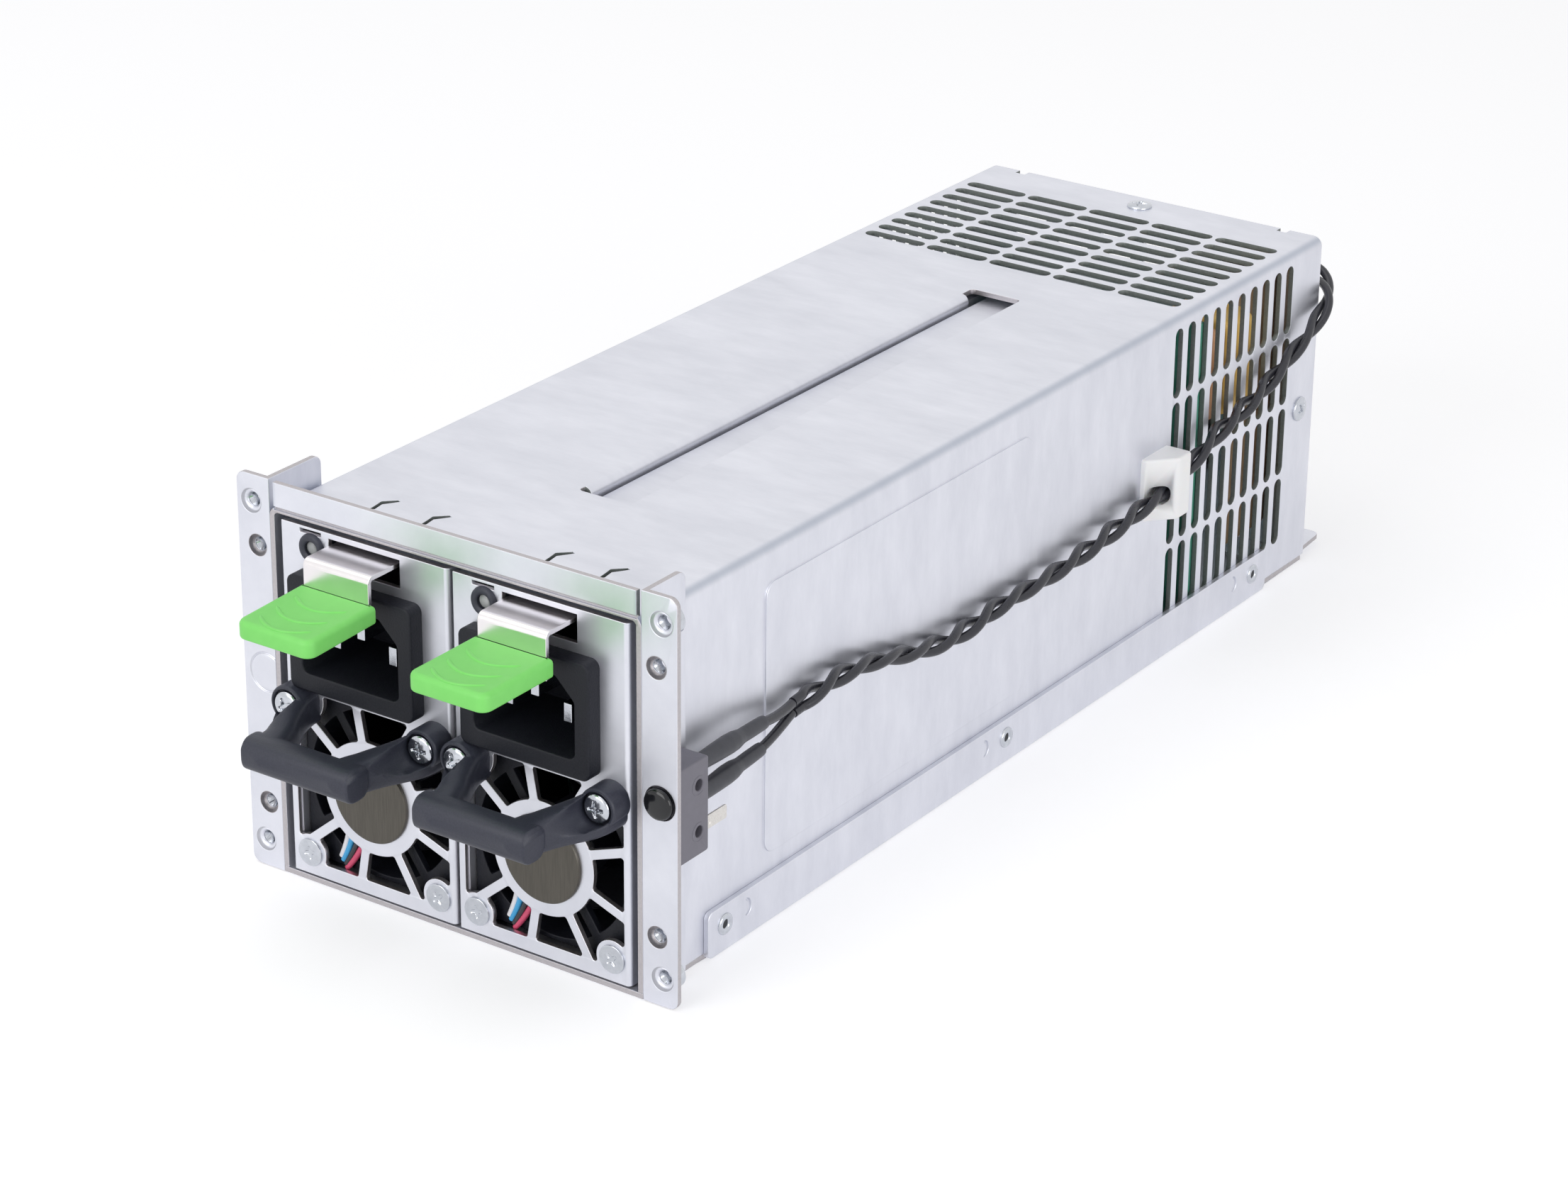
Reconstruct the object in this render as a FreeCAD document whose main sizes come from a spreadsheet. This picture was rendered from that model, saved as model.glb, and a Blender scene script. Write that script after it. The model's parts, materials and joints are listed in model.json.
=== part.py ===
import FreeCAD, Part
import math
import os
import Sketcher

# Hot swap server power supply: a folded cage that holds two equal modules side by side.
# X runs to the right seen from the front, Y to the back, Z up. The pieces are drawn with Z = 0
# on the floor and Y = 0 on the front face of the ears, and the finished nodes are then lowered
# so that the origin is the centre of the four outer ear holes.

SIZES = (
    # cage body
    ("body_half", 44.8),
    ("body_height", 79.7),
    ("body_length", 260.0),
    ("sheet", 1.2),
    ("bend", 2.2),
    ("lip_rise", 5.05),
    ("lip_half", 43.75),
    ("lip_groove", 0.7),
    ("flange_height", 10.0),
    ("flange_start", 19.5),
    ("flange_end", 239.5),
    ("flange_corner", 1.5),
    ("rivet_head", 1.5),
    ("rivet_height", 5.8),
    ("rivet_first", 25.0),
    ("rivet_middle", 127.0),
    ("rivet_last", 233.0),
    ("slot_radius", 1.2),
    ("top_slot_half", 6.15),
    ("top_slot_column", 16.72),
    ("top_slot_row", 5.375),
    ("top_slot_front", 201.7),
    ("side_slot_half", 6.45),
    ("side_slot_column", 5.51),
    ("side_slot_row", 17.3),
    ("side_slot_front", 195.7),
    ("side_slot_low", 16.85),
    ("opening_left", 0.5),
    ("opening_right", 11.4),
    ("opening_front", 41.4),
    ("opening_rear", 183.8),
    ("divider_depth", 10.5),
    ("divider_bend", 1.7),
    ("rear_lip_half", 34.0),
    ("rear_lip_drop", 8.0),
    ("rear_strip", 4.0),
    ("press_front", 39.5),
    ("press_rear", 135.3),
    ("press_low", 14.2),
    ("press_high", 72.0),
    ("press_depth", 0.35),
    # ears
    ("ear_reach", 53.0),
    ("ear_height", 85.2),
    ("ear_corner", 2.0),
    ("ear_depth_left", 15.6),
    ("ear_depth_right", 12.2),
    ("outer_hole_edge", 3.6),
    ("outer_hole_low", 5.9),
    ("outer_hole_drop", 5.7),
    ("inner_hole_edge", 4.8),
    ("inner_hole_low", 14.5),
    ("inner_hole_drop", 14.8),
    ("ear_hole_radius", 1.45),
    ("button_x", 48.9),
    ("button_height", 42.9),
    ("button_radius", 3.2),
    ("button_stand", 1.4),
    ("button_travel", 0.8),
    # alarm switch behind the right ear
    ("switch_thick", 6.4),
    ("switch_deep", 9.2),
    ("switch_low", 30.1),
    ("switch_tall", 19.8),
    ("terminal_reach", 6.2),
    ("terminal_tall", 2.8),
    ("terminal_thick", 0.5),
    ("terminal_pitch", 6.8),
    ("sleeve_radius", 2.0),
    # modules
    ("module_pitch", 42.4),
    ("panel_half", 20.65),
    ("panel_low", 1.6),
    ("panel_top_gap", 2.2),
    ("panel_sheet", 1.2),
    ("panel_bend", 1.2),
    ("window_half", 19.2),
    ("window_low", 4.6),
    ("window_high", 41.9),
    ("hub_height", 23.0),
    ("hub_plate_radius", 12.1),
    ("hub_disc_radius", 9.2),
    ("spoke_width", 2.0),
    ("fan_screw_x", 16.4),
    ("fan_screw_low", 6.5),
    ("screw_land", 3.9),
    ("panel_screw_head", 3.0),
    ("handle_screw_x", 16.8),
    ("handle_screw_height", 40.6),
    ("boss_radius", 4.1),
    ("boss_stand", 5.0),
    ("handle_screw_head", 3.0),
    ("bar_reach", 22.0),
    ("bar_height", 38.1),
    ("bar_half", 13.3),
    ("bar_deep", 4.7),
    ("bar_tall", 3.6),
    ("inlet_height", 57.6),
    ("inlet_half", 15.4),
    ("inlet_tall_half", 12.1),
    ("inlet_stand", 5.5),
    ("inlet_body_half", 13.4),
    ("inlet_body_tall_half", 10.0),
    ("inlet_depth", 21.0),
    ("socket_half", 12.0),
    ("socket_tall_half", 8.2),
    ("socket_depth", 17.0),
    ("pin_thick", 2.0),
    ("pin_tall", 4.0),
    ("pin_length", 10.0),
    ("pin_spacing", 7.0),
    ("led_x", -12.9),
    ("led_drop", 6.4),
    ("led_ring_radius", 3.1),
    ("led_radius", 1.45),
    ("housing_half", 20.0),
    ("housing_low", 1.6),
    ("housing_top_gap", 2.4),
    ("housing_sheet", 1.0),
    ("housing_rear", 196.0),
    ("board_height", 9.0),
    ("board_thick", 1.6),
    ("board_front", 36.0),
    ("board_rear", 203.0),
    ("board_half", 17.5),
    ("edge_half", 13.0),
    ("capacitor_radius", 15.0),
    ("capacitor_length", 42.0),
    # fan
    ("fan_half", 18.8),
    ("fan_front", 2.9),
    ("fan_deep", 28.0),
    ("fan_bore", 17.8),
    ("rotor_radius", 17.2),
    ("rotor_hub", 8.0),
    ("shaft_radius", 1.0),
    ("shaft_clearance", 0.05),
    ("strut_width", 2.2),
    # latch
    ("latch_half", 8.05),
    ("latch_drop", 4.3),
    ("latch_sheet", 1.0),
    ("latch_front", -8.4),
    ("latch_pivot", 34.0),
    ("latch_flange", 9.8),
    ("latch_notch_half", 8.8),
    ("latch_notch", 4.9),
    ("tab_half", 9.25),
    ("tab_reach", -30.0),
    ("tab_below_plate", 5.7),
    ("tab_thick", 4.9),
    ("tab_drop", 1.3),
    ("catch_half", 3.0),
    ("catch_front", 12.0),
    ("catch_rear", 16.0),
    # distribution board at the back
    ("plane_front", 206.0),
    ("plane_half", 42.6),
    ("plane_top_gap", 5.7),
    ("plane_low", 2.0),
    ("seat_clearance", 0.3),
)

SPOKE_ANGLES = (220, 260, 300, 340, 20, 60, 100, 140)
BLADES = 7
BLADE_PITCH = 55.0
BLADE_CHORD = 15.0
BLADE_THICK = 1.2

doc = FreeCAD.newDocument("hot_swap_power_supply")
sheet_cells = doc.addObject("Spreadsheet::Sheet", "Sizes")
for row, (alias, number) in enumerate(SIZES, start=1):
    sheet_cells.set("A%d" % row, alias)
    sheet_cells.set("B%d" % row, str(number))
    sheet_cells.setAlias("B%d" % row, alias)
doc.recompute()


class Size:
    """A number together with the spreadsheet expression that gives it."""

    def __init__(self, number, text):
        self.number = number
        self.text = text

    def __add__(self, other):
        return Size(self.number + number_of(other), "(%s + %s)" % (self.text, text_of(other)))

    def __radd__(self, other):
        return Size(number_of(other) + self.number, "(%s + %s)" % (text_of(other), self.text))

    def __sub__(self, other):
        return Size(self.number - number_of(other), "(%s - %s)" % (self.text, text_of(other)))

    def __rsub__(self, other):
        return Size(number_of(other) - self.number, "(%s - %s)" % (text_of(other), self.text))

    def __mul__(self, factor):
        return Size(self.number * number_of(factor), "(%s * %s)" % (self.text, text_of(factor)))

    def __rmul__(self, factor):
        return self * factor

    def __truediv__(self, factor):
        return Size(self.number / number_of(factor), "(%s / %s)" % (self.text, text_of(factor)))

    def __neg__(self):
        return Size(-self.number, "(-1 * %s)" % self.text)


def number_of(value):
    return value.number if isinstance(value, Size) else float(value)


def text_of(value):
    return value.text if isinstance(value, Size) else "(%.6f)" % value


class Named:
    """Every size of the sheet, as mm.alias."""


mm = Named()
for alias, number in SIZES:
    setattr(mm, alias, Size(float(sheet_cells.get(alias)), "Sizes." + alias))

# Sizes that follow from others
mm.outer_hole_high = mm.ear_height - mm.outer_hole_drop
mm.inner_hole_high = mm.ear_height - mm.inner_hole_drop
mm.outer_hole_x = mm.ear_reach - mm.outer_hole_edge
mm.inner_hole_x = mm.ear_reach - mm.inner_hole_edge
mm.panel_high = mm.body_height - mm.panel_top_gap
mm.housing_high = mm.body_height - mm.housing_top_gap
mm.led_height = mm.body_height - mm.led_drop
mm.latch_top = mm.body_height - mm.latch_drop
mm.latch_flange_low = mm.latch_top - mm.latch_flange
mm.latch_notch_low = mm.latch_top - mm.latch_notch
mm.tab_top = mm.latch_top - mm.tab_below_plate
mm.plane_high = mm.body_height - mm.plane_top_gap

ORIGIN_HEIGHT = (mm.outer_hole_low + mm.outer_hole_high) / 2
nodes = []
places = {}


def bind(thing, name, value):
    """Gives a property its number, and its expression where it comes from the sheet."""
    if isinstance(value, Size):
        thing.setExpression(name, value.text)
    else:
        setattr(thing, name, value)


def place(thing, x=0, y=0, z=0):
    """Puts a thing's own corner or centre at a point, without turning it."""
    spot = (x, y, z)
    thing.Placement.Base = FreeCAD.Vector(*[number_of(value) for value in spot])
    for axis, value in zip("xyz", spot):
        if isinstance(value, Size):
            thing.setExpression("Placement.Base." + axis, value.text)
    places[thing.Name] = spot
    return thing


def box(name, x, y, z):
    """A block between two limits on each axis."""
    block = doc.addObject("Part::Box", name)
    for side, limits in zip(("Length", "Width", "Height"), (x, y, z)):
        bind(block, side, limits[1] - limits[0])
    return place(block, x[0], y[0], z[0])


def turned_to(axis):
    """The turn that brings a cylinder's own Z onto an axis of the part."""
    turns = {"x": ((0, 1, 0), 90), "y": ((1, 0, 0), -90), "z": ((0, 0, 1), 0)}
    direction, angle = turns[axis]
    return FreeCAD.Rotation(FreeCAD.Vector(*direction), angle)


def cylinder(name, radius, start, length, axis="y"):
    """A cylinder from a start point along an axis."""
    rod = doc.addObject("Part::Cylinder", name)
    bind(rod, "Radius", radius)
    bind(rod, "Height", length)
    rod.Placement.Rotation = turned_to(axis)
    return place(rod, *start)


def fuse(name, *things):
    """One solid, or one group, out of several."""
    union = doc.addObject("Part::MultiFuse", name)
    union.Shapes = list(things)
    union.Refine = True
    return union


def cut(name, base, *tools):
    """The base without its tools."""
    rest = doc.addObject("Part::Cut", name)
    rest.Base = base
    rest.Tool = tools[0] if len(tools) == 1 else fuse(name + "_tools", *tools)
    rest.Refine = True
    return rest


def group(name, *things):
    """Separate solids that share one node."""
    together = doc.addObject("Part::Compound", name)
    together.Links = list(things)
    return together


def new_body(name):
    return doc.addObject("PartDesign::Body", name)


def role_plane(body, role):
    return [feature for feature in body.Origin.OriginFeatures if feature.Role == role][0]


def drawing(body, plane, offset=0):
    """A sketch on one of the body's own origin planes, moved along that plane's normal."""
    sketch = body.newObject("Sketcher::SketchObject", body.Name + "_sketch")
    sketch.AttachmentSupport = [(role_plane(body, plane + "_Plane"), "")]
    sketch.MapMode = "FlatFace"
    sketch.AttachmentOffset = FreeCAD.Placement(
        FreeCAD.Vector(0, 0, number_of(offset)), FreeCAD.Rotation())
    if isinstance(offset, Size):
        sketch.setExpression("AttachmentOffset.Base.z", offset.text)
    return sketch


def fix(sketch, kind, *parts):
    """Adds a constraint, whose last part may be a size of the sheet."""
    value = parts[-1]
    if kind in ("DistanceX", "DistanceY", "Radius"):
        parts = parts[:-1] + (number_of(value),)
    index = sketch.addConstraint(Sketcher.Constraint(kind, *parts))
    if isinstance(value, Size):
        sketch.setExpression("Constraints[%d]" % index, value.text)


def add_circle(sketch, x, y, radius):
    centre = FreeCAD.Vector(number_of(x), number_of(y), 0)
    circle = sketch.addGeometry(
        Part.Circle(centre, FreeCAD.Vector(0, 0, 1), number_of(radius)), False)
    fix(sketch, "DistanceX", -1, 1, circle, 3, x)
    fix(sketch, "DistanceY", -1, 1, circle, 3, y)
    fix(sketch, "Radius", circle, radius)


def corner_arc(before, corner, after, radius):
    """The points where an arc of that radius leaves and meets the two sides, and its centre."""
    into = (before - corner).normalize()
    out = (after - corner).normalize()
    half = into.getAngle(out) / 2
    reach = radius / math.tan(half)
    middle = (into + out).normalize() * (radius / math.sin(half))
    return corner + into * reach, corner + out * reach, corner + middle


def add_outline(sketch, corners):
    """A closed outline through corners (x, y) or (x, y, radius), which are fixed by the sheet."""
    points = [FreeCAD.Vector(number_of(c[0]), number_of(c[1]), 0) for c in corners]
    radii = [number_of(c[2]) if len(c) > 2 else 0.0 for c in corners]
    count = len(points)
    leaves = list(points)
    meets = list(points)
    arcs = {}
    up = FreeCAD.Vector(0, 0, 1)
    for i in range(count):
        if radii[i] > 0:
            before = points[i - 1]
            after = points[(i + 1) % count]
            first, last, centre = corner_arc(before, points[i], after, radii[i])
            leaves[i] = first
            meets[i] = last
            left_turn = (points[i] - before).cross(after - points[i]).z > 0
            start, end = (first, last) if left_turn else (last, first)
            start_angle = math.atan2(start.y - centre.y, start.x - centre.x)
            end_angle = math.atan2(end.y - centre.y, end.x - centre.x)
            circle = Part.Circle(centre, up, radii[i])
            arc = Part.ArcOfCircle(circle, start_angle, end_angle)
            arcs[i] = (sketch.addGeometry(arc, False), left_turn)
    lines = []
    for i in range(count):
        side = Part.LineSegment(meets[i], leaves[(i + 1) % count])
        lines.append(sketch.addGeometry(side, False))
    for i in range(count):
        incoming = lines[i - 1]
        outgoing = lines[i]
        if i in arcs:
            arc, left_turn = arcs[i]
            begin, finish = (1, 2) if left_turn else (2, 1)
            point = sketch.addGeometry(Part.Point(points[i]), True)
            fix(sketch, "DistanceX", -1, 1, point, 1, corners[i][0])
            fix(sketch, "DistanceY", -1, 1, point, 1, corners[i][1])
            sketch.addConstraint(Sketcher.Constraint("PointOnObject", point, 1, incoming))
            sketch.addConstraint(Sketcher.Constraint("PointOnObject", point, 1, outgoing))
            sketch.addConstraint(Sketcher.Constraint("Tangent", incoming, 2, arc, begin))
            sketch.addConstraint(Sketcher.Constraint("Tangent", arc, finish, outgoing, 1))
            fix(sketch, "Radius", arc, corners[i][2])
        else:
            sketch.addConstraint(Sketcher.Constraint("Coincident", incoming, 2, outgoing, 1))
            fix(sketch, "DistanceX", -1, 1, outgoing, 1, corners[i][0])
            fix(sketch, "DistanceY", -1, 1, outgoing, 1, corners[i][1])


def rectangle(x, y, radius=None):
    """The four corners of a rectangle between two limits on each axis."""
    spots = ((x[0], y[0]), (x[1], y[0]), (x[1], y[1]), (x[0], y[1]))
    return [spot + (radius,) if radius is not None else spot for spot in spots]


def add_slot(sketch, centre, half, radius, upright=False):
    """A slot, half being centre to end centre, whose round ends have four flats each."""
    corners = []
    for end, turn in ((1, -90), (-1, 90)):
        for step in range(5):
            angle = math.radians(turn + 45 * step)
            along = half * end + radius * math.cos(angle)
            across = radius * math.sin(angle)
            if upright:
                corners.append((centre[0] - across, centre[1] + along))
            else:
                corners.append((centre[0] + along, centre[1] + across))
    add_outline(sketch, corners)


def pad(body, sketch, length, back=False, both=False):
    """Raises a sketch along its normal, backwards, or half to each side."""
    feature = body.newObject("PartDesign::Pad", body.Name + "_pad")
    feature.Profile = sketch
    bind(feature, "Length", length)
    feature.Reversed = back
    if both:
        feature.SideType = "Symmetric"
    body.Tip = feature
    doc.recompute()
    return feature


def pocket(body, sketch, length, back=False, both=False):
    """Cuts a sketch against its normal, or along it, and makes sure that it cuts."""
    before = body.Shape.Volume
    feature = body.newObject("PartDesign::Pocket", body.Name + "_pocket")
    feature.Profile = sketch
    bind(feature, "Length", length)
    feature.Reversed = back
    if both:
        feature.SideType = "Symmetric"
    body.Tip = feature
    doc.recompute()
    if not body.Shape.Volume < before - 1e-6:
        raise RuntimeError(body.Name + " has a pocket that cuts nothing")
    return feature


def repeat(body, feature, sketch, first, second=None):
    """Repeats a feature along the sketch's own axes; each way is (count, pitch)."""
    pattern = body.newObject("PartDesign::LinearPattern", body.Name + "_pattern")
    pattern.Originals = [feature]
    pattern.Direction = (sketch, ["H_Axis"])
    pattern.Mode = "Extent"
    bind(pattern, "Length", first[1] * (first[0] - 1))
    pattern.Occurrences = first[0]
    if second:
        pattern.Direction2 = (sketch, ["V_Axis"])
        pattern.Mode2 = "Extent"
        bind(pattern, "Length2", second[1] * (second[0] - 1))
        pattern.Occurrences2 = second[0]
    body.Tip = pattern
    doc.recompute()
    return pattern


def mirror(body, *features):
    """Repeats features on the other side of the YZ plane."""
    copy = body.newObject("PartDesign::Mirrored", body.Name + "_mirror")
    copy.Originals = list(features)
    copy.MirrorPlane = (role_plane(body, "YZ_Plane"), [""])
    body.Tip = copy
    doc.recompute()
    return copy


def round_edges(body, radius, wanted):
    """Rounds the edges of the body's shape that the test picks."""
    last = body.Tip
    names = ["Edge%d" % (i + 1) for i, edge in enumerate(last.Shape.Edges) if wanted(edge)]
    feature = body.newObject("PartDesign::Fillet", body.Name + "_fillet")
    feature.Base = (last, names)
    bind(feature, "Radius", radius)
    body.Tip = feature
    doc.recompute()
    return feature


def runs_along(edge, axis):
    """Whether a straight edge runs along one axis of the part."""
    size = edge.BoundBox
    lengths = {"x": size.XLength, "y": size.YLength, "z": size.ZLength}
    own = lengths.pop(axis)
    return edge.Curve.TypeId == "Part::GeomLine" and own > 1e-6 and max(lengths.values()) < 1e-6


def finish(thing, label, x=0):
    """Names a node and moves it into the part's own frame."""
    spot = places.get(thing.Name, (0, 0, 0))
    place(thing, spot[0] + x, spot[1], spot[2] - ORIGIN_HEIGHT)
    thing.Label = label
    nodes.append(thing)
    return thing


def shape_node(shape, label, x=0):
    """A node whose shape is made with Part's own functions."""
    thing = doc.addObject("Part::Feature", label)
    thing.Shape = shape
    return finish(thing, label, x)


# Cage

INNER_HALF = mm.body_half - mm.sheet
INNER_TOP = mm.body_height - mm.sheet
WALL_OUTSIDE = mm.body_half + mm.sheet


def base_tray():
    """The floor, with a flange turned up outside each side wall."""
    tray = new_body("tray")
    floor = drawing(tray, "XY")
    wide_front = mm.flange_start + mm.flange_corner
    wide_rear = mm.flange_end - mm.flange_corner
    rear = mm.body_length - mm.sheet
    add_outline(floor, (
        (-mm.body_half, 0), (mm.body_half, 0), (mm.body_half, wide_front), (WALL_OUTSIDE, wide_front),
        (WALL_OUTSIDE, wide_rear), (mm.body_half, wide_rear), (mm.body_half, rear),
        (-mm.body_half, rear), (-mm.body_half, wide_rear), (-WALL_OUTSIDE, wide_rear),
        (-WALL_OUTSIDE, wide_front), (-mm.body_half, wide_front)))
    pad(tray, floor, mm.sheet)
    side = drawing(tray, "YZ", mm.body_half)
    add_outline(side, rectangle(
        (mm.flange_start, mm.flange_end), (0, mm.flange_height), mm.flange_corner))
    flange = pad(tray, side, mm.sheet)
    mirror(tray, flange)
    return finish(tray, "base_tray")


def tray_rivets():
    """Rivets that hold the flanges to the side walls: their flat heads."""
    rivets = []
    for side in (-1, 1):
        for number, along in enumerate((mm.rivet_first, mm.rivet_middle, mm.rivet_last)):
            start = WALL_OUTSIDE if side > 0 else -WALL_OUTSIDE - 0.35
            rivets.append(cylinder("rivet_%d_%d" % (side + 1, number), mm.rivet_head,
                                   (start, along, mm.rivet_height), 0.35, "x"))
    return finish(group("rivets", *rivets), "tray_rivets")


def top_cover():
    """Top and sides folded from one sheet, with the lip, the vents and the long opening."""
    cover = new_body("cover")
    below = -5.0
    profile = drawing(cover, "XZ")
    add_outline(profile, rectangle(
        (-mm.body_half, mm.body_half), (below, mm.body_height), mm.bend))
    add_outline(profile, rectangle(
        (-INNER_HALF, INNER_HALF), (below + mm.sheet, INNER_TOP), mm.bend - mm.sheet))
    pad(cover, profile, mm.body_length, back=True)
    under = drawing(cover, "XY", mm.sheet)
    add_outline(under, rectangle((-50, 50), (-1, mm.body_length + 1)))
    pocket(cover, under, 10)
    lip = drawing(cover, "XZ")
    add_outline(lip, rectangle(
        (-mm.lip_half, mm.lip_half), (INNER_TOP, mm.body_height + mm.lip_rise)))
    pad(cover, lip, mm.sheet, back=True)
    groove = drawing(cover, "XZ")
    add_outline(groove, rectangle(
        (-mm.lip_half, mm.lip_half), (mm.body_height - mm.lip_groove, mm.body_height)))
    pocket(cover, groove, mm.sheet / 2)
    rear = drawing(cover, "XZ", -mm.body_length)
    add_outline(rear, rectangle(
        (-mm.rear_lip_half, mm.rear_lip_half), (mm.body_height - mm.rear_lip_drop, mm.body_height)))
    pad(cover, rear, mm.sheet)
    strip = drawing(cover, "XZ", -mm.body_length)
    add_outline(strip, rectangle(
        (mm.body_half - mm.rear_strip, mm.body_half - mm.sheet / 2),
        (mm.flange_height, mm.body_height - mm.rear_strip)))
    mirror(cover, pad(cover, strip, mm.sheet))
    notch = drawing(cover, "XY", mm.body_height)
    add_outline(notch, rectangle(
        (mm.rear_lip_half, mm.rear_lip_half + 2.4), (mm.body_length - 2, mm.body_length + 1)))
    mirror(cover, pocket(cover, notch, mm.sheet * 1.5))
    opening = drawing(cover, "XY", mm.body_height)
    bend_start = mm.opening_left - mm.divider_bend
    add_outline(opening, rectangle(
        (bend_start, mm.opening_right), (mm.opening_front, mm.opening_rear), 1.0))
    pocket(cover, opening, mm.sheet * 1.5)
    flap = drawing(cover, "XZ", -(mm.opening_front + 2))
    flap_low = mm.body_height - mm.divider_depth
    flap_inside = mm.opening_left - mm.sheet
    add_outline(flap, (
        (bend_start - 0.2, mm.body_height), (bend_start - 0.2, INNER_TOP),
        (flap_inside, INNER_TOP, mm.divider_bend - mm.sheet), (flap_inside, flap_low),
        (mm.opening_left, flap_low), (mm.opening_left, mm.body_height, mm.divider_bend)))
    pad(cover, flap, mm.opening_rear - mm.opening_front - 6, back=True)
    lances = drawing(cover, "XY", mm.body_height)
    for middle in (-27.0, -14.2, 15.6, 28.6):
        add_outline(lances, (
            (middle - 0.9, 9.9), (middle - 0.1, 10.5), (middle - 0.5, 13.2), (middle + 1.6, 16.2),
            (middle + 0.9, 16.6), (middle - 1.5, 14.3), (middle - 1.2, 12.4)))
    pocket(cover, lances, mm.sheet * 1.5)
    press = drawing(cover, "YZ", mm.body_half)
    add_outline(press, rectangle(
        (mm.press_front, mm.press_rear), (mm.press_low, mm.press_high), 3.0))
    mirror(cover, pad(cover, press, mm.press_depth))
    top_slot = drawing(cover, "XY", mm.body_height)
    add_slot(top_slot, (mm.top_slot_column * -2, mm.top_slot_front), mm.top_slot_half, mm.slot_radius)
    slot = pocket(cover, top_slot, mm.sheet * 1.5)
    repeat(cover, slot, top_slot, (5, mm.top_slot_column), (9, mm.top_slot_row))
    side_slot = drawing(cover, "YZ")
    add_slot(side_slot, (mm.side_slot_front, mm.side_slot_low), mm.side_slot_half,
             mm.slot_radius, upright=True)
    slot = pocket(cover, side_slot, mm.body_half * 2 + 4, both=True)
    repeat(cover, slot, side_slot, (10, mm.side_slot_column), (4, mm.side_slot_row))
    screw_holes = drawing(cover, "XY", mm.body_height)
    add_circle(screw_holes, 0, mm.body_length - 6, COVER_SCREW_SHANK)
    pocket(cover, screw_holes, mm.sheet * 1.5)
    side_screws = drawing(cover, "YZ")
    add_circle(side_screws, mm.body_length - 6.6, mm.body_height / 2, COVER_SCREW_SHANK)
    pocket(cover, side_screws, mm.body_half * 2 + 4, both=True)
    return finish(cover, "top_cover")


COVER_SCREW_SHANK = 1.3
COVER_SCREW_HEAD = 2.9


def screw(name, head, head_height, shank, shank_length, spot, axis, forward):
    """A pan head screw; the head stands on the spot and the shank runs the other way."""
    x, y, z = spot
    steps = {"x": (1, 0, 0), "y": (0, 1, 0), "z": (0, 0, 1)}[axis]
    head_back = -head_height if forward < 0 else 0
    shank_back = 0 if forward < 0 else -shank_length
    head_start = (x + head_back * steps[0], y + head_back * steps[1], z + head_back * steps[2])
    shank_start = (x + shank_back * steps[0], y + shank_back * steps[1], z + shank_back * steps[2])
    return fuse(
        name,
        cylinder(name + "_head", head, head_start, head_height, axis),
        cylinder(name + "_shank", shank, shank_start, shank_length, axis))


def cover_screws():
    """Screws through the cover into the rear panel's flanges."""
    length = 3.0
    top = screw("screw_top", COVER_SCREW_HEAD, 0.7, COVER_SCREW_SHANK, length,
                (0, mm.body_length - 6, mm.body_height), "z", 1)
    along = mm.body_length - 6.6
    height = mm.body_height / 2
    right = screw("screw_right", COVER_SCREW_HEAD, 0.7, COVER_SCREW_SHANK, length,
                  (mm.body_half, along, height), "x", 1)
    left = screw("screw_left", COVER_SCREW_HEAD, 0.7, COVER_SCREW_SHANK, length,
                 (-mm.body_half, along, height), "x", -1)
    return finish(group("screws", top, right, left), "cover_screws")


def ear(side):
    """An angle bracket: its front plate takes the chassis screws, its flange lies on the wall."""
    name = "right_bracket" if side > 0 else "left_bracket"
    depth = mm.ear_depth_right if side > 0 else mm.ear_depth_left
    bracket = new_body(name)
    front = drawing(bracket, "XZ")
    near = mm.body_half * side
    far = mm.ear_reach * side
    corners = [(near, 0), (far, 0, mm.ear_corner), (far, mm.ear_height, mm.ear_corner),
               (near, mm.ear_height)]
    add_outline(front, corners)
    for x, low, high in ((mm.outer_hole_x, mm.outer_hole_low, mm.outer_hole_high),
                         (mm.inner_hole_x, mm.inner_hole_low, mm.inner_hole_high)):
        for height in (low, high):
            add_circle(front, x * side, height, mm.ear_hole_radius)
    pad(bracket, front, mm.sheet, back=True)
    flange = drawing(bracket, "YZ", near if side > 0 else near - mm.sheet)
    add_outline(flange, ((0, 0), (depth, 0, mm.ear_corner), (depth, mm.ear_height, mm.ear_corner),
                         (0, mm.ear_height)))
    pad(bracket, flange, mm.sheet)
    if side > 0:
        hole = drawing(bracket, "XZ")
        add_circle(hole, mm.button_x, mm.button_height, mm.button_radius + mm.seat_clearance)
        pocket(bracket, hole, mm.sheet)
    return finish(bracket, "right_ear" if side > 0 else "left_ear")


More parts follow.
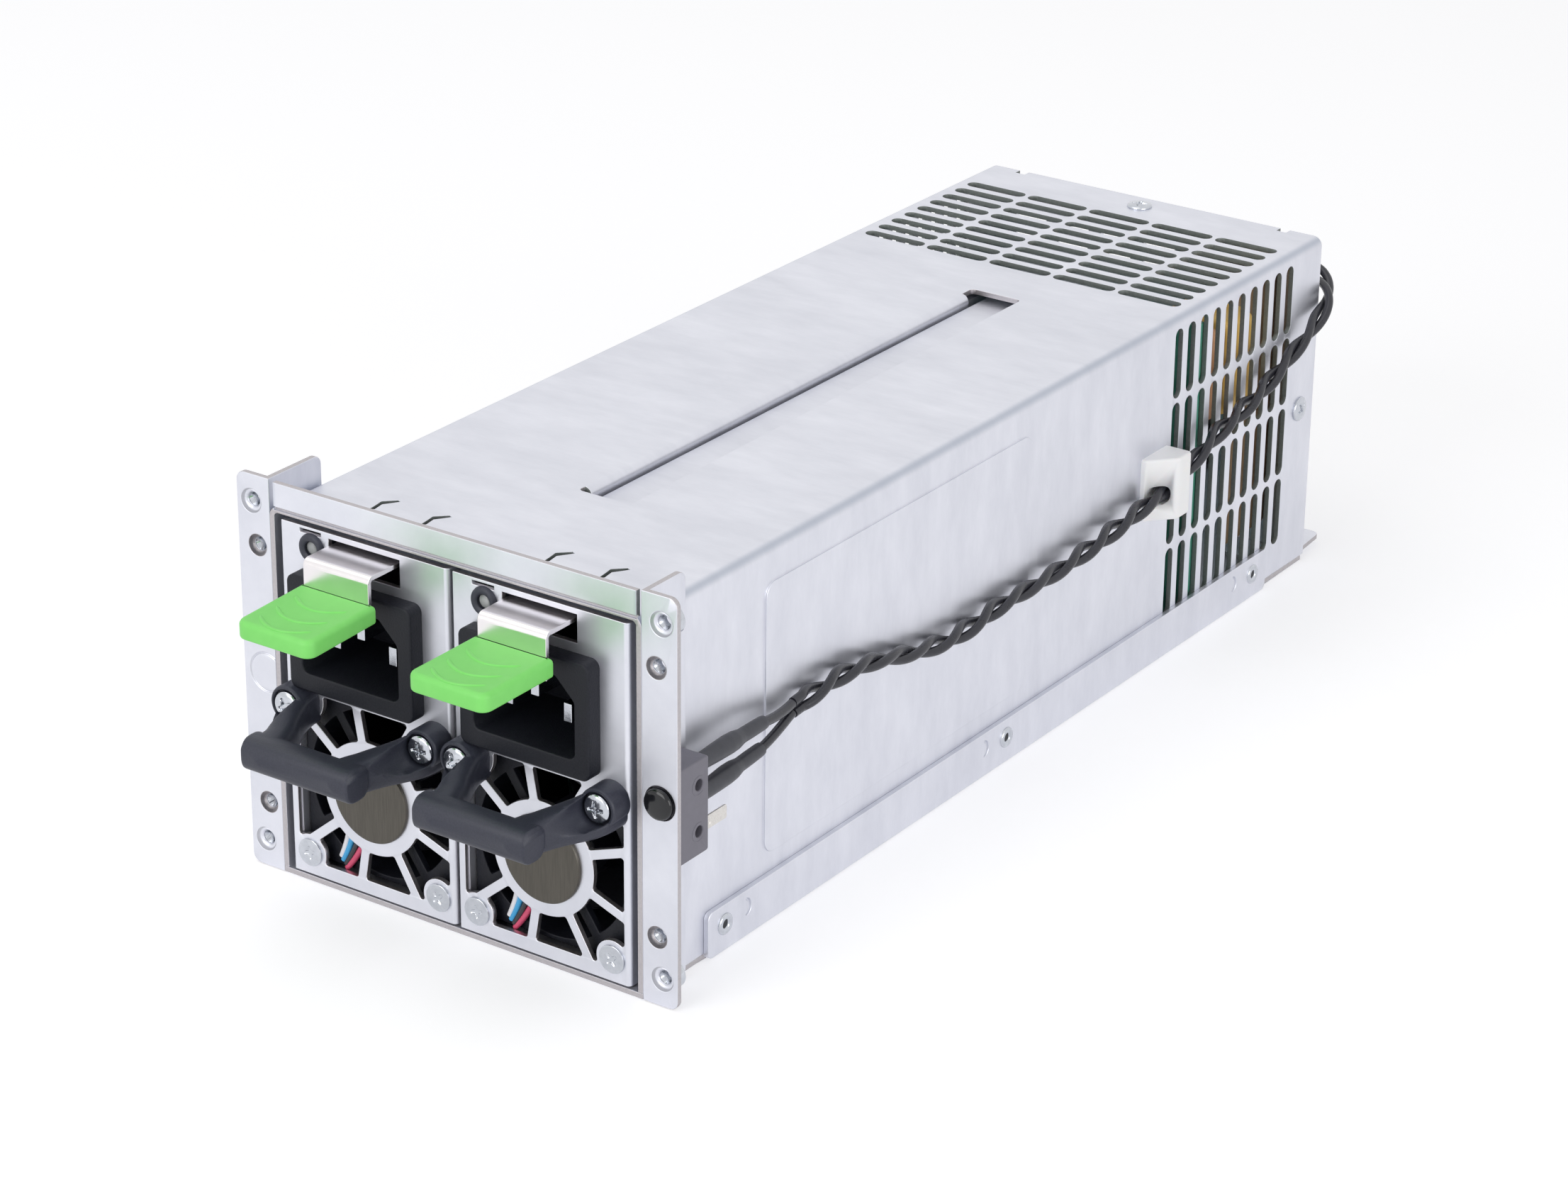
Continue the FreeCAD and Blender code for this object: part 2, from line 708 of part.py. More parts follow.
def rear_panel():
    """The rear wall, with flanges turned forward, the output cable opening and vent slots."""
    wall = new_body("rear_wall")
    outer = INNER_HALF - 0.1
    low = mm.sheet
    high = INNER_TOP - 0.1
    back = mm.body_length - mm.sheet
    face = drawing(wall, "XZ", -back)
    add_outline(face, (
        (-outer, low), (FOOT_X[0] - 0.4, low), (FOOT_X[0] - 0.4, low * 2 + 0.1),
        (FOOT_X[1] + 0.1, low * 2 + 0.1), (FOOT_X[1] + 0.1, low), (outer, low),
        (outer, high, mm.bend - mm.sheet), (-outer, high, mm.bend - mm.sheet)))
    add_outline(face, rectangle(OUTPUT_X, OUTPUT_Z, 3.0))
    add_circle(face, GROMMET_X, GROMMET_Z, GROMMET_HOLE)
    pad(wall, face, mm.sheet)
    rim = drawing(wall, "XZ", -(back - mm.sheet))
    inner = outer - mm.sheet
    corner = mm.bend - mm.sheet
    add_outline(rim, ((outer, low), (outer, high, corner), (-outer, high, corner), (-outer, low),
                      (-inner, low), (-inner, high - mm.sheet), (inner, high - mm.sheet), (inner, low)))
    pad(wall, rim, 10)
    slots = drawing(wall, "XZ")
    add_slot(slots, (-31.5, 64.5), mm.top_slot_half / 2, mm.slot_radius)
    vent = pocket(wall, slots, mm.body_length + 2)
    repeat(wall, vent, slots, (4, mm.top_slot_column * 0.7), (2, mm.top_slot_row))
    holes = [cylinder("wall_hole_top", COVER_SCREW_SHANK, (0, mm.body_length - 6, high - 3), 4, "z")]
    for side in (-1, 1):
        holes.append(cylinder("wall_hole_%d" % (side + 1), COVER_SCREW_SHANK,
                              (outer * side - 2.5, mm.body_length - 6.6, mm.body_height / 2), 5, "x"))
    return finish(cut("rear_wall_drilled", wall, *holes), "rear_panel")


OUTPUT_X = (-30, 18)
OUTPUT_Z = (16, 50)
FOOT_X = (29, 42)
GROMMET_X = 23.5
GROMMET_Z = 66.4
GROMMET_HOLE = 3.4


def output_trim():
    """Rubber trim round the edge of the output cable opening."""
    trim = new_body("trim")
    back = mm.body_length - mm.sheet
    ring = drawing(trim, "XZ", -(back + 1.2))
    add_outline(ring, rectangle((OUTPUT_X[0] - 1.6, OUTPUT_X[1] + 1.6),
                                (OUTPUT_Z[0] - 1.6, OUTPUT_Z[1] + 1.6), 4.6))
    add_outline(ring, rectangle((OUTPUT_X[0] + 1.2, OUTPUT_X[1] - 1.2),
                                (OUTPUT_Z[0] + 1.2, OUTPUT_Z[1] - 1.2), 1.8))
    pad(trim, ring, mm.sheet + 2.4)
    slit = drawing(trim, "XZ", -(back - mm.sheet))
    add_outline(slit, rectangle((OUTPUT_X[0] - 3, OUTPUT_X[1] + 3),
                                (OUTPUT_Z[0] - 3, OUTPUT_Z[1] + 3), 6.0))
    add_outline(slit, rectangle((OUTPUT_X[0] + 0.1, OUTPUT_X[1] - 0.1),
                                (OUTPUT_Z[0] + 0.1, OUTPUT_Z[1] - 0.1), 2.9))
    pocket(trim, slit, mm.sheet)
    return finish(trim, "output_trim")


def cord_grommet():
    """The grommet in the rear wall that the twisted pair goes into."""
    back = mm.body_length - mm.sheet * 2
    middle = (GROMMET_X, back, GROMMET_Z)
    flange = cylinder("grommet_rear", GROMMET_HOLE + 1.0, (middle[0], back + mm.sheet, middle[2]), 1.2)
    neck = cylinder("grommet_neck", GROMMET_HOLE - 0.05, (middle[0], back - 0.8, middle[2]), 2.8)
    front = cylinder("grommet_front", GROMMET_HOLE + 1.0, (middle[0], back - 1.2, middle[2]), 1.2)
    hole = cylinder("grommet_hole", CORD_RADIUS + 0.5, (middle[0], back - 3, middle[2]), 9)
    return finish(cut("grommet", fuse("grommet_whole", flange, neck, front), hole), "cord_grommet")


def foot_bracket():
    """A flat tongue on the floor that reaches out behind the rear right corner."""
    tab = new_body("foot")
    plan = drawing(tab, "XY", mm.sheet)
    out = mm.body_length + 0.2
    end = mm.body_length + 11
    add_outline(plan, (
        (FOOT_X[0], mm.body_length - 12), (FOOT_X[1], mm.body_length - 12), (FOOT_X[1], out),
        (44.0, out), (43.2, end, 2.0), (FOOT_X[0], end, 2.0)))
    pad(tab, plan, mm.sheet)
    return finish(tab, "foot_bracket")


# Distribution board


def distribution_board():
    """The upright board across the back, which the modules plug into."""
    board = new_body("plane")
    face = drawing(board, "XZ", -mm.plane_front)
    add_outline(face, rectangle((-mm.plane_half, mm.plane_half), (mm.plane_low, mm.plane_high)))
    pad(board, face, mm.board_thick, back=True)
    return finish(board, "distribution_board")


SOCKET_DEEP = 8.0


def board_sockets():
    """Two card edge sockets on the front of the distribution board."""
    sockets = []
    slot_low = mm.board_height - mm.seat_clearance
    slot_high = mm.board_height + mm.board_thick + mm.seat_clearance
    for side in (-1, 1):
        middle = mm.module_pitch / 2 * side
        front = mm.plane_front - SOCKET_DEEP
        block = box("socket_%d_block" % (side + 1), (middle - 16, middle + 16),
                    (front, mm.plane_front), (slot_low - 3.2, slot_high + 3.2))
        slot = box("socket_%d_slot" % (side + 1),
                   (middle - mm.edge_half - 0.4, middle + mm.edge_half + 0.4),
                   (front - 1, mm.plane_front - 1.5), (slot_low, slot_high))
        sockets.append(cut("socket_%d" % (side + 1), block, slot))
    return finish(group("sockets", *sockets), "board_sockets")


def board_parts():
    """The taped transformer, the choke and the capacitors on the back of the board."""
    face = mm.plane_front + mm.board_thick
    core = box("core_block", (25, 40), (face, face + 17), (49, 66))
    winding = new_body("winding_wrap")
    wrap = drawing(winding, "XZ", -(face + 3))
    add_outline(wrap, rectangle((23.5, 41.5), (46.5, 68.5), 3.0))
    add_outline(wrap, rectangle((25, 40), (49, 66)))
    pad(winding, wrap, 11, back=True)
    finish(winding, "taped_winding")
    finish(core, "taped_core")
    whole = cylinder("choke_whole", 10.0, (32, face, 30), 7.0)
    hole = cylinder("choke_hole", 4.0, (32, face - 1, 30), 9.0)
    finish(cut("choke_ring", whole, hole), "output_choke")
    cans = []
    for number, (x, z) in enumerate(((-30, 60), (-16, 60), (-2, 60), (-30, 12), (-16, 12))):
        cans.append(cylinder("can_%d" % number, 5.0, (x, face, z), 20))
    finish(group("cans", *cans), "board_capacitors")


# Alarm switch and its wires

SWITCH_INNER = WALL_OUTSIDE + 0.1
SWITCH_OUTER = SWITCH_INNER + mm.switch_thick
SWITCH_FRONT = mm.sheet + 0.1
SWITCH_REAR = SWITCH_FRONT + mm.switch_deep
SWITCH_MIDDLE = (SWITCH_INNER + SWITCH_OUTER) / 2


def alarm_switch():
    """The small snap action switch behind the right ear, with its two mounting holes."""
    case = new_body("switch_case")
    side = drawing(case, "YZ", SWITCH_INNER)
    add_outline(side, rectangle(
        (SWITCH_FRONT, SWITCH_REAR), (mm.switch_low, mm.switch_low + mm.switch_tall), 0.6))
    for height in (4.9, 14.6):
        add_circle(side, SWITCH_REAR - 2.9, mm.switch_low + height, 1.15)
    pad(case, side, mm.switch_thick)
    bore = cylinder("switch_bore", BUTTON_STEM + 0.3,
                    (mm.button_x, SWITCH_FRONT - 1, mm.button_height), BUTTON_STEM_LENGTH + 1.8)
    return finish(cut("switch_bored", case, bore), "alarm_switch")


BUTTON_STEM = 1.2
BUTTON_STEM_LENGTH = 3.0


def push_button():
    """The round button in the ear, with the stem that presses the switch."""
    back = mm.button_travel + mm.seat_clearance
    cap = new_body("button_cap")
    half = drawing(cap, "YZ")
    dome = 0.5
    front = -mm.button_stand
    add_outline(half, (
        (front, 0), (front, mm.button_radius - 1.8), (front + dome, mm.button_radius - 0.8),
        (front + dome * 2, mm.button_radius), (mm.sheet - back, mm.button_radius),
        (mm.sheet - back, BUTTON_STEM), (mm.sheet + BUTTON_STEM_LENGTH, BUTTON_STEM),
        (mm.sheet + BUTTON_STEM_LENGTH, 0)))
    turn = cap.newObject("PartDesign::Revolution", "button_turn")
    turn.Profile = half
    turn.ReferenceAxis = (half, ["H_Axis"])
    turn.Angle = 360
    cap.Tip = turn
    doc.recompute()
    place(cap, mm.button_x, 0, mm.button_height)
    return finish(cap, "push_button")


def terminal_height(number):
    return mm.switch_low + mm.switch_tall / 2 + mm.terminal_pitch * (number - 1)


def switch_terminals():
    """Three flat terminals on the back of the switch."""
    blades = []
    for number in range(3):
        middle = terminal_height(number)
        name = "terminal_%d" % number
        blade = new_body(name)
        side = drawing(blade, "YZ", SWITCH_MIDDLE - mm.terminal_thick / 2)
        end = SWITCH_REAR + mm.terminal_reach
        low = middle - mm.terminal_tall / 2
        high = middle + mm.terminal_tall / 2
        add_outline(side, ((SWITCH_REAR, low), (end - 1.2, low), (end, middle), (end - 1.2, high),
                           (SWITCH_REAR, high)))
        add_circle(side, end - 2.2, middle, 0.6)
        pad(blade, side, mm.terminal_thick)
        blades.append(blade)
    return finish(group("terminals", *blades), "switch_terminals")


def rounded_path(points, largest=None):
    """Straight runs joined by tangent arcs; each arc is as large as its two runs allow."""
    corners = [FreeCAD.Vector(*point) for point in points]
    edges = []
    radii = []
    last = corners[0]
    for before, corner, after in zip(corners, corners[1:], corners[2:]):
        into = (before - corner)
        out = (after - corner)
        shorter = min(into.Length, out.Length)
        into.normalize()
        out.normalize()
        half_turn = (math.pi - into.getAngle(out)) / 2
        reach = 0.45 * shorter
        radius = reach / math.tan(half_turn)
        if largest and radius > largest:
            radius = largest
            reach = radius * math.tan(half_turn)
        start = corner + into * reach
        end = corner + out * reach
        middle_way = (into + out).normalize()
        centre = corner + middle_way * (radius / math.cos(half_turn))
        middle = centre - middle_way * radius
        if (start - last).Length > 1e-4:
            edges.append(Part.LineSegment(last, start).toShape())
        edges.append(Part.Arc(start, middle, end).toShape())
        radii.append(radius)
        last = end
    edges.append(Part.LineSegment(last, corners[-1]).toShape())
    return Part.Wire(edges), radii


def eight_sided(radius, centre, way):
    """An eight-sided ring of the same area as a circle, square to a direction."""
    reach = radius * math.sqrt(math.pi / (4 * math.sin(math.pi / 4)))
    turn = FreeCAD.Rotation(FreeCAD.Vector(0, 0, 1), FreeCAD.Vector(way))
    corners = []
    for step in range(9):
        angle = math.radians(22.5 + 45 * step)
        spot = FreeCAD.Vector(reach * math.cos(angle), reach * math.sin(angle), 0)
        corners.append(centre + turn.multVec(spot))
    return Part.makePolygon(corners)


def tube(points, radius, label):
    """A solid tube along a rounded path, checked against its section times its length."""
    wire, radii = rounded_path(points)
    way = wire.Edges[0].tangentAt(wire.Edges[0].FirstParameter)
    ring = eight_sided(radius, FreeCAD.Vector(*points[0]), way)
    solid = wire.makePipeShell([ring], True, False, 2)
    expected = math.pi * radius * radius * wire.Length
    print("%s length %.1f mm, smallest bend %.1f mm, volume ratio %.4f" % (
        label, wire.Length, min(radii) if radii else 0, solid.Volume / expected))
    if abs(solid.Volume / expected - 1) > 0.01:
        raise RuntimeError(label + " is not a clean tube")
    return solid


CORD_RADIUS = 2.0
WIRE_RADIUS = 1.0

# The twisted pair: from where the two wires meet, along the wall, through the tie mount, up and
# round the rear right corner into the grommet. X, Y, Z in mm, Z above the floor.
TWISTED_ROUTE = (
    (47.7, 45.0, 44.9),
    (47.8, 59.0, 46.3),
    (47.6, 74.0, 44.2),
    (47.5, 88.5, 40.3),
    (47.6, 104.0, 38.1),
    (47.5, 121.0, 39.4),
    (47.6, 138.0, 38.7),
    (47.7, 156.0, 39.6),
    (47.8, 173.0, 41.2),
    (47.9, 187.0, 42.5),
    (47.9, 199.0, 45.3),
    (47.8, 210.5, 49.2),
    (47.7, 223.0, 51.0),
    (47.7, 233.0, 53.6),
    (47.8, 242.0, 57.0),
    (47.9, 251.4, 60.4),
    (47.3, 261.0, 65.4),
    (40.4, 268.2, 68.4),
    (30.6, 268.4, 68.4),
    (23.5, 261.6, 66.4),
    (23.5, 251.8, 66.4),
)
UPPER_WIRE = (
    (49.3, 32.6, 47.0),
    (48.9, 38.5, 45.8),
    (47.7, 44.5, 45.9),
)
LOWER_WIRE = (
    (49.2, 31.8, 41.6),
    (48.8, 36.5, 42.0),
    (47.7, 44.5, 43.9),
)


def wires():
    """The two wires and the twisted pair, as plain tubes."""
    shape_node(tube(TWISTED_ROUTE, CORD_RADIUS, "twisted pair"), "twisted_pair")
    shape_node(tube(UPPER_WIRE, WIRE_RADIUS, "upper wire"), "upper_wire")
    shape_node(tube(LOWER_WIRE, WIRE_RADIUS, "lower wire"), "lower_wire")


SLEEVE_GAP = 0.4


def sleeve(name, start, end, radius_start, radius_end):
    """A heat shrink sleeve: a tapered round loft between two points."""
    first = FreeCAD.Vector(*[number_of(value) for value in start])
    last = FreeCAD.Vector(*[number_of(value) for value in end])
    way = last - first
    way = way * (1 - SLEEVE_GAP / way.Length)
    rings = []
    for share, radius in ((0.0, radius_start), (0.5, radius_start), (0.62, radius_end), (1.0, radius_end)):
        rings.append(eight_sided(radius, first + way * share, way))
    return Part.makeLoft(rings, True, True)


def heat_shrinks():
    """Two sleeves shrunk over the wired terminals."""
    start_y = SWITCH_REAR + 0.3
    radius = number_of(mm.sleeve_radius)
    solids = []
    for number, wire in ((2, UPPER_WIRE), (1, LOWER_WIRE)):
        spot = (SWITCH_MIDDLE, start_y, terminal_height(number))
        solid = sleeve("sleeve", spot, wire[0], radius, radius * 0.78)
        blade = Part.makeBox(
            number_of(mm.terminal_thick), number_of(mm.terminal_reach) + 0.2,
            number_of(mm.terminal_tall),
            FreeCAD.Vector(number_of(SWITCH_MIDDLE - mm.terminal_thick / 2), number_of(SWITCH_REAR),
                           number_of(terminal_height(number) - mm.terminal_tall / 2)))
        solids.append(solid.cut(blade))
    return shape_node(Part.Compound(solids), "heat_shrinks")


TIE_FRONT = 182.5
TIE_REAR = 203.5
TIE_LOW = 34.6
TIE_HIGH = 51.2
TIE_STAND = 6.4
TUNNEL = (0.6, 5.6)


def tie_mount():
    """The white adhesive mount that the twisted pair passes through."""
    block = new_body("mount_block")
    side = drawing(block, "YZ", mm.body_half)
    add_outline(side, (
        (TIE_FRONT, TIE_LOW), (TIE_FRONT + 15, TIE_LOW), (TIE_REAR, TIE_LOW + 4),
        (TIE_REAR, TIE_HIGH - 4), (TIE_FRONT + 13, TIE_HIGH), (TIE_FRONT, TIE_HIGH - 2.5)))
    pad(block, side, TIE_STAND)
    tunnel = drawing(block, "YZ", mm.body_half + TUNNEL[0])
    lift = CORD_RADIUS + 0.4
    course = ((TIE_FRONT - 1, 42.1), (187.0, 42.4), (199.0, 45.3), (TIE_REAR + 1, 47.2))
    below = [(y, z - lift) for y, z in course]
    above = [(y, z + lift) for y, z in course]
    add_outline(tunnel, below + above[::-1])
    pocket(block, tunnel, TUNNEL[1] - TUNNEL[0], back=True)
    return finish(block, "tie_mount")


# Module pieces, drawn round X = 0 and moved to their bay when they are finished


def panel_window(name):
    """The grille's open areas: a window without the hub plate, spokes, and screw lands."""
    deep = (-1, mm.panel_sheet + 1)
    window = box(name + "_window", (-mm.window_half, mm.window_half), deep,
                 (mm.window_low, mm.window_high))
    start = (0, -1.5, mm.hub_height)
    through = mm.panel_sheet + 3
    solid = [cylinder(name + "_hub", mm.hub_plate_radius, start, through)]
    for angle in SPOKE_ANGLES:
        spoke = doc.addObject("Part::Box", "%s_spoke_%d" % (name, angle))
        bind(spoke, "Length", mm.window_half * 1.5)
        bind(spoke, "Width", through)
        bind(spoke, "Height", mm.spoke_width)
        turn = FreeCAD.Rotation(FreeCAD.Vector(0, 1, 0), -angle)
        spoke.Placement.Rotation = turn
        side = mm.spoke_width / 2
        lift = math.radians(angle)
        place(spoke, side * math.sin(lift), -1.5, mm.hub_height - side * math.cos(lift))
        solid.append(spoke)
    for side in (-1, 1):
        solid.append(cylinder("%s_low_land_%d" % (name, side + 1), mm.screw_land,
                              (mm.fan_screw_x * side, -1.5, mm.fan_screw_low), through))
        solid.append(cylinder("%s_high_land_%d" % (name, side + 1), mm.boss_radius + 1.0,
                              (mm.handle_screw_x * side, -1.5, mm.handle_screw_height), through))
    opened = cut(name + "_open", window, *solid)
    doc.recompute()
    rounded = doc.addObject("Part::Feature", name + "_open_rounded")
    rounded.Shape = Part.Compound([rounded_window(part) for part in opened.Shape.Solids])
    return rounded


WINDOW_CORNER = 0.6


def rounded_window(solid):
    """The same opening with round corners: its front face drawn in and let out by one radius."""
    front = min(solid.Faces, key=lambda face: face.CenterOfMass.y)
    outline = front.makeOffset2D(-WINDOW_CORNER, 0).makeOffset2D(WINDOW_CORNER, 0)
    return outline.extrude(FreeCAD.Vector(0, solid.BoundBox.YLength, 0))


def front_panel(name, x):
    """The module's face: grille, inlet hole, latch notch and the bend round its right edge."""
    face = new_body(name + "_face")
    outline = drawing(face, "XZ")
    add_outline(outline, rectangle((-mm.panel_half, mm.panel_half), (mm.panel_low, mm.panel_high)))
    add_outline(outline, rectangle(
        (-mm.inlet_body_half - 0.1, mm.inlet_body_half + 0.1),
        (mm.inlet_height - mm.inlet_body_tall_half - 0.1, mm.inlet_height + mm.inlet_body_tall_half + 0.1)))
    add_outline(outline, rectangle(
        (-mm.latch_notch_half, mm.latch_notch_half), (mm.latch_notch_low, mm.panel_high - 1.2)))
    add_outline(outline, rectangle((-16.0, -10.7), (mm.panel_high - 1.4, mm.panel_high - 0.6)))
    add_circle(outline, mm.led_x, mm.led_height, mm.led_ring_radius - 0.6)
    for side in (-1, 1):
        add_circle(outline, mm.fan_screw_x * side, mm.fan_screw_low, SCREW_SHANK + 0.2)
        add_circle(outline, mm.handle_screw_x * side, mm.handle_screw_height, SCREW_SHANK + 0.2)
    pad(face, outline, mm.panel_sheet, back=True)
    back = drawing(face, "YZ", mm.panel_half - mm.panel_sheet)
    add_outline(back, rectangle(
        (mm.panel_sheet / 2, mm.panel_sheet / 2 + 9), (mm.panel_low, mm.panel_high)))
    pad(face, back, mm.panel_sheet)
    right = number_of(mm.panel_half)
    round_edges(face, mm.panel_bend * 0.9, lambda edge: runs_along(edge, "z")
                and abs(edge.BoundBox.XMax - right) < 1e-4 and abs(edge.BoundBox.YMax) < 1e-4)
    cut_face = cut(name + "_grille", face, panel_window(name))
    return finish(cut_face, name + "_front_panel", x)


SCREW_SHANK = 1.2


def panel_screws(name, x):
    """Flat head screws through the panel into the fan's corners."""
    screws = []
    for side in (-1, 1):
        one = "%s_panel_screw_%d" % (name, side + 1)
        start = (mm.fan_screw_x * side, 0, mm.fan_screw_low)
        head = cylinder(one + "_head", mm.panel_screw_head, (start[0], -0.5, start[2]), 0.5)
        shank = cylinder(one + "_shank", SCREW_SHANK, start, 9.0)
        screws.append(fuse(one, head, shank))
    return finish(group(name + "_panel_screw_set", *screws), name + "_panel_screws", x)


def handle_screws(name, x):
    """Pan head screws that hold the handle's bosses."""
    screws = []
    for side in (-1, 1):
        one = "%s_handle_screw_%d" % (name, side + 1)
        spot = (mm.handle_screw_x * side, -mm.boss_stand + 1.0, mm.handle_screw_height)
        head = cylinder(one + "_head", mm.handle_screw_head, (spot[0], -mm.boss_stand - 0.8, spot[2]), 1.8)
        shank = cylinder(one + "_shank", SCREW_SHANK, spot, mm.boss_stand + 1.5)
        screws.append(fuse(one, head, shank))
    return finish(group(name + "_handle_screw_set", *screws), name + "_handle_screws", x)


def hub_disc(name, x):
    """The dark brushed disc on the middle of the grille."""
    disc = new_body(name + "_disc")
    half = drawing(disc, "YZ")
    add_outline(half, ((-0.8, 0), (-0.8, mm.hub_disc_radius - 0.5), (-0.4, mm.hub_disc_radius),
                       (0, mm.hub_disc_radius), (0, 0)))
    turn = disc.newObject("PartDesign::Revolution", name + "_disc_turn")
    turn.Profile = half
    turn.ReferenceAxis = (half, ["H_Axis"])
    turn.Angle = 360
    disc.Tip = turn
    doc.recompute()
    place(disc, 0, 0, mm.hub_height)
    return finish(disc, name + "_hub_disc", x)


def handle(name, x):
    """The black pull handle: two screwed bosses, two arms and an oval bar."""
    grip = new_body(name + "_grip")
    plan = drawing(grip, "XY", mm.bar_height - 2.6)
    reach = -mm.bar_reach
    outer = mm.handle_screw_x + mm.boss_radius
    inner = mm.handle_screw_x - mm.boss_radius
    tip = mm.bar_half
    waist = tip - 0.7
    for side in (-1, 1):
        add_outline(plan, (
            (inner * side, -0.1), (outer * side, -0.1), (outer * side, -mm.boss_stand + 1.2, 2.0),
            (waist * side, reach + 7.5, 5.0), (waist * side, reach + 1.0),
            ((tip - 6.0) * side, reach + 1.0), ((tip - 5.0) * side, reach + 9.5, 3.0)))
    pad(grip, plan, 6.4)
    bar = drawing(grip, "YZ", -mm.bar_half)
    oval = []
    for step in range(12):
        angle = math.radians(15 + 30 * step)
        oval.append((reach + mm.bar_deep * (1.02 * math.cos(angle)),
                     mm.bar_height + mm.bar_tall * (1.02 * math.sin(angle))))
    add_outline(bar, oval)
    pad(grip, bar, mm.bar_half * 2)
    bosses = drawing(grip, "XZ")
    for side in (-1, 1):
        add_circle(bosses, mm.handle_screw_x * side, mm.handle_screw_height, mm.boss_radius)
    pad(grip, bosses, mm.boss_stand)
    tools = []
    for side in (-1, 1):
        start = (mm.handle_screw_x * side, -mm.boss_stand - 20, mm.handle_screw_height)
        tools.append(cylinder("%s_pocket_%d" % (name, side + 1), mm.handle_screw_head + 0.25, start, 21.0))
        tools.append(cylinder("%s_drill_%d" % (name, side + 1), SCREW_SHANK + 0.05, start, 30.0))
    return finish(cut(name + "_grip_drilled", grip, *tools), name + "_handle", x)


def inlet_opening():
    """The corners of the C14 socket opening, with its two cut top corners."""
    cut_corner = 4.5
    low = mm.inlet_height - mm.socket_tall_half
    high = mm.inlet_height + mm.socket_tall_half
    return ((-mm.socket_half, low), (mm.socket_half, low), (mm.socket_half, high - cut_corner),
            (mm.socket_half - cut_corner, high), (cut_corner - mm.socket_half, high),
            (-mm.socket_half, high - cut_corner))


def power_inlet(name, x):
    """The mains inlet: a flange in front of the panel and a deep socket behind it."""
    shell = new_body(name + "_shell")
    flange = drawing(shell, "XZ")
    low = mm.inlet_height - mm.inlet_tall_half
    high = mm.inlet_height + mm.inlet_tall_half
    add_outline(flange, rectangle((-mm.inlet_half, mm.inlet_half), (low, high), 1.8))
    pad(shell, flange, mm.inlet_stand)
    case = drawing(shell, "XZ")
    add_outline(case, rectangle(
        (-mm.inlet_body_half, mm.inlet_body_half),
        (mm.inlet_height - mm.inlet_body_tall_half, mm.inlet_height + mm.inlet_body_tall_half)))
    pad(shell, case, mm.inlet_depth, back=True)
    socket = drawing(shell, "XZ", mm.inlet_stand)
    add_outline(socket, inlet_opening())
    pocket(shell, socket, mm.inlet_stand + mm.socket_depth)
    return finish(shell, name + "_inlet", x)


def inlet_pins(name, x):
    """Line, neutral and the raised earth pin of the inlet."""
    pins = []
    root = mm.socket_depth
    for number, (across, lift) in enumerate(((-1, -1.5), (1, -1.5), (0, 2.5))):
        middle = mm.pin_spacing * across
        height = mm.inlet_height + lift
        length = mm.pin_length + (1.5 if number == 2 else 0)
        pins.append(box("%s_pin_%d" % (name, number),
                        (middle - mm.pin_thick / 2, middle + mm.pin_thick / 2),
                        (root - length, root), (height - mm.pin_tall / 2, height + mm.pin_tall / 2)))
    return finish(group(name + "_pins", *pins), name + "_inlet_pins", x)


def status_light(name, x):
    """The light's black holder, and the clear light in it."""
    start = (mm.led_x, -0.9, mm.led_height)
    ring = cylinder(name + "_ring", mm.led_ring_radius, start, 0.9)
    neck = cylinder(name + "_neck", mm.led_ring_radius - 0.65, start, 6.0)
    hole = cylinder(name + "_ring_hole", mm.led_radius + 0.05, (start[0], -2, start[2]), 10.0)
    finish(cut(name + "_holder", fuse(name + "_ring_neck", ring, neck), hole), name + "_light_holder", x)
    rod = cylinder(name + "_rod", mm.led_radius, (start[0], -0.3, start[2]), 5.6)
    finish(rod, name + "_light", x)


CATCH_SLOT = 0.8


def housing(name, x):
    """The module's folded case: open in front, slotted on top for the latch's catch."""
    half = mm.housing_half
    wall = mm.housing_sheet
    front = mm.panel_sheet
    rear = mm.housing_rear
    outer = box(name + "_outer", (-half, half), (front, rear), (mm.housing_low, mm.housing_high))
    inner = box(name + "_inner", (wall - half, half - wall), (front - 1, rear - wall),
                (mm.housing_low + wall, mm.housing_high - wall))
    flange_room = box(name + "_flange_room", (mm.panel_half - mm.panel_sheet - 0.2, mm.panel_half + 1),
                      (front - 1, front + 9.2), (mm.housing_low - 1, mm.housing_high + 1))
    slot = box(name + "_catch_slot", (-mm.catch_half - CATCH_SLOT, mm.catch_half + CATCH_SLOT),
               (mm.catch_front - CATCH_SLOT - 1, mm.catch_rear + CATCH_SLOT + 0.6),
               (mm.housing_high - wall - 1, mm.housing_high + 1))
    edge_hole = box(name + "_edge_hole", (-16.8, 16.8), (rear - wall - 1, rear + 1),
                    (mm.board_height - 5.0, mm.board_height + mm.board_thick + 5.0))
    tools = [inner, flange_room, slot, edge_hole]
    for number in range(6):
        level = 24.0 + number * 8.0
        tools.append(box("%s_rear_slot_%d" % (name, number), (-15, 15), (rear - wall - 1, rear + 1),
                         (level, level + 3.0)))
    pin = cylinder(name + "_latch_pin", LATCH_PIN, (wall - half - 0.5, mm.latch_pivot, LATCH_AXIS),
                   (half - wall) * 2 + 1.0, "x")
    return finish(fuse(name + "_case", cut(name + "_folded", outer, *tools), pin), name + "_housing", x)


LATCH_PIN = 1.0
LATCH_EYE = 2.0
LATCH_AXIS = mm.latch_top - LATCH_EYE


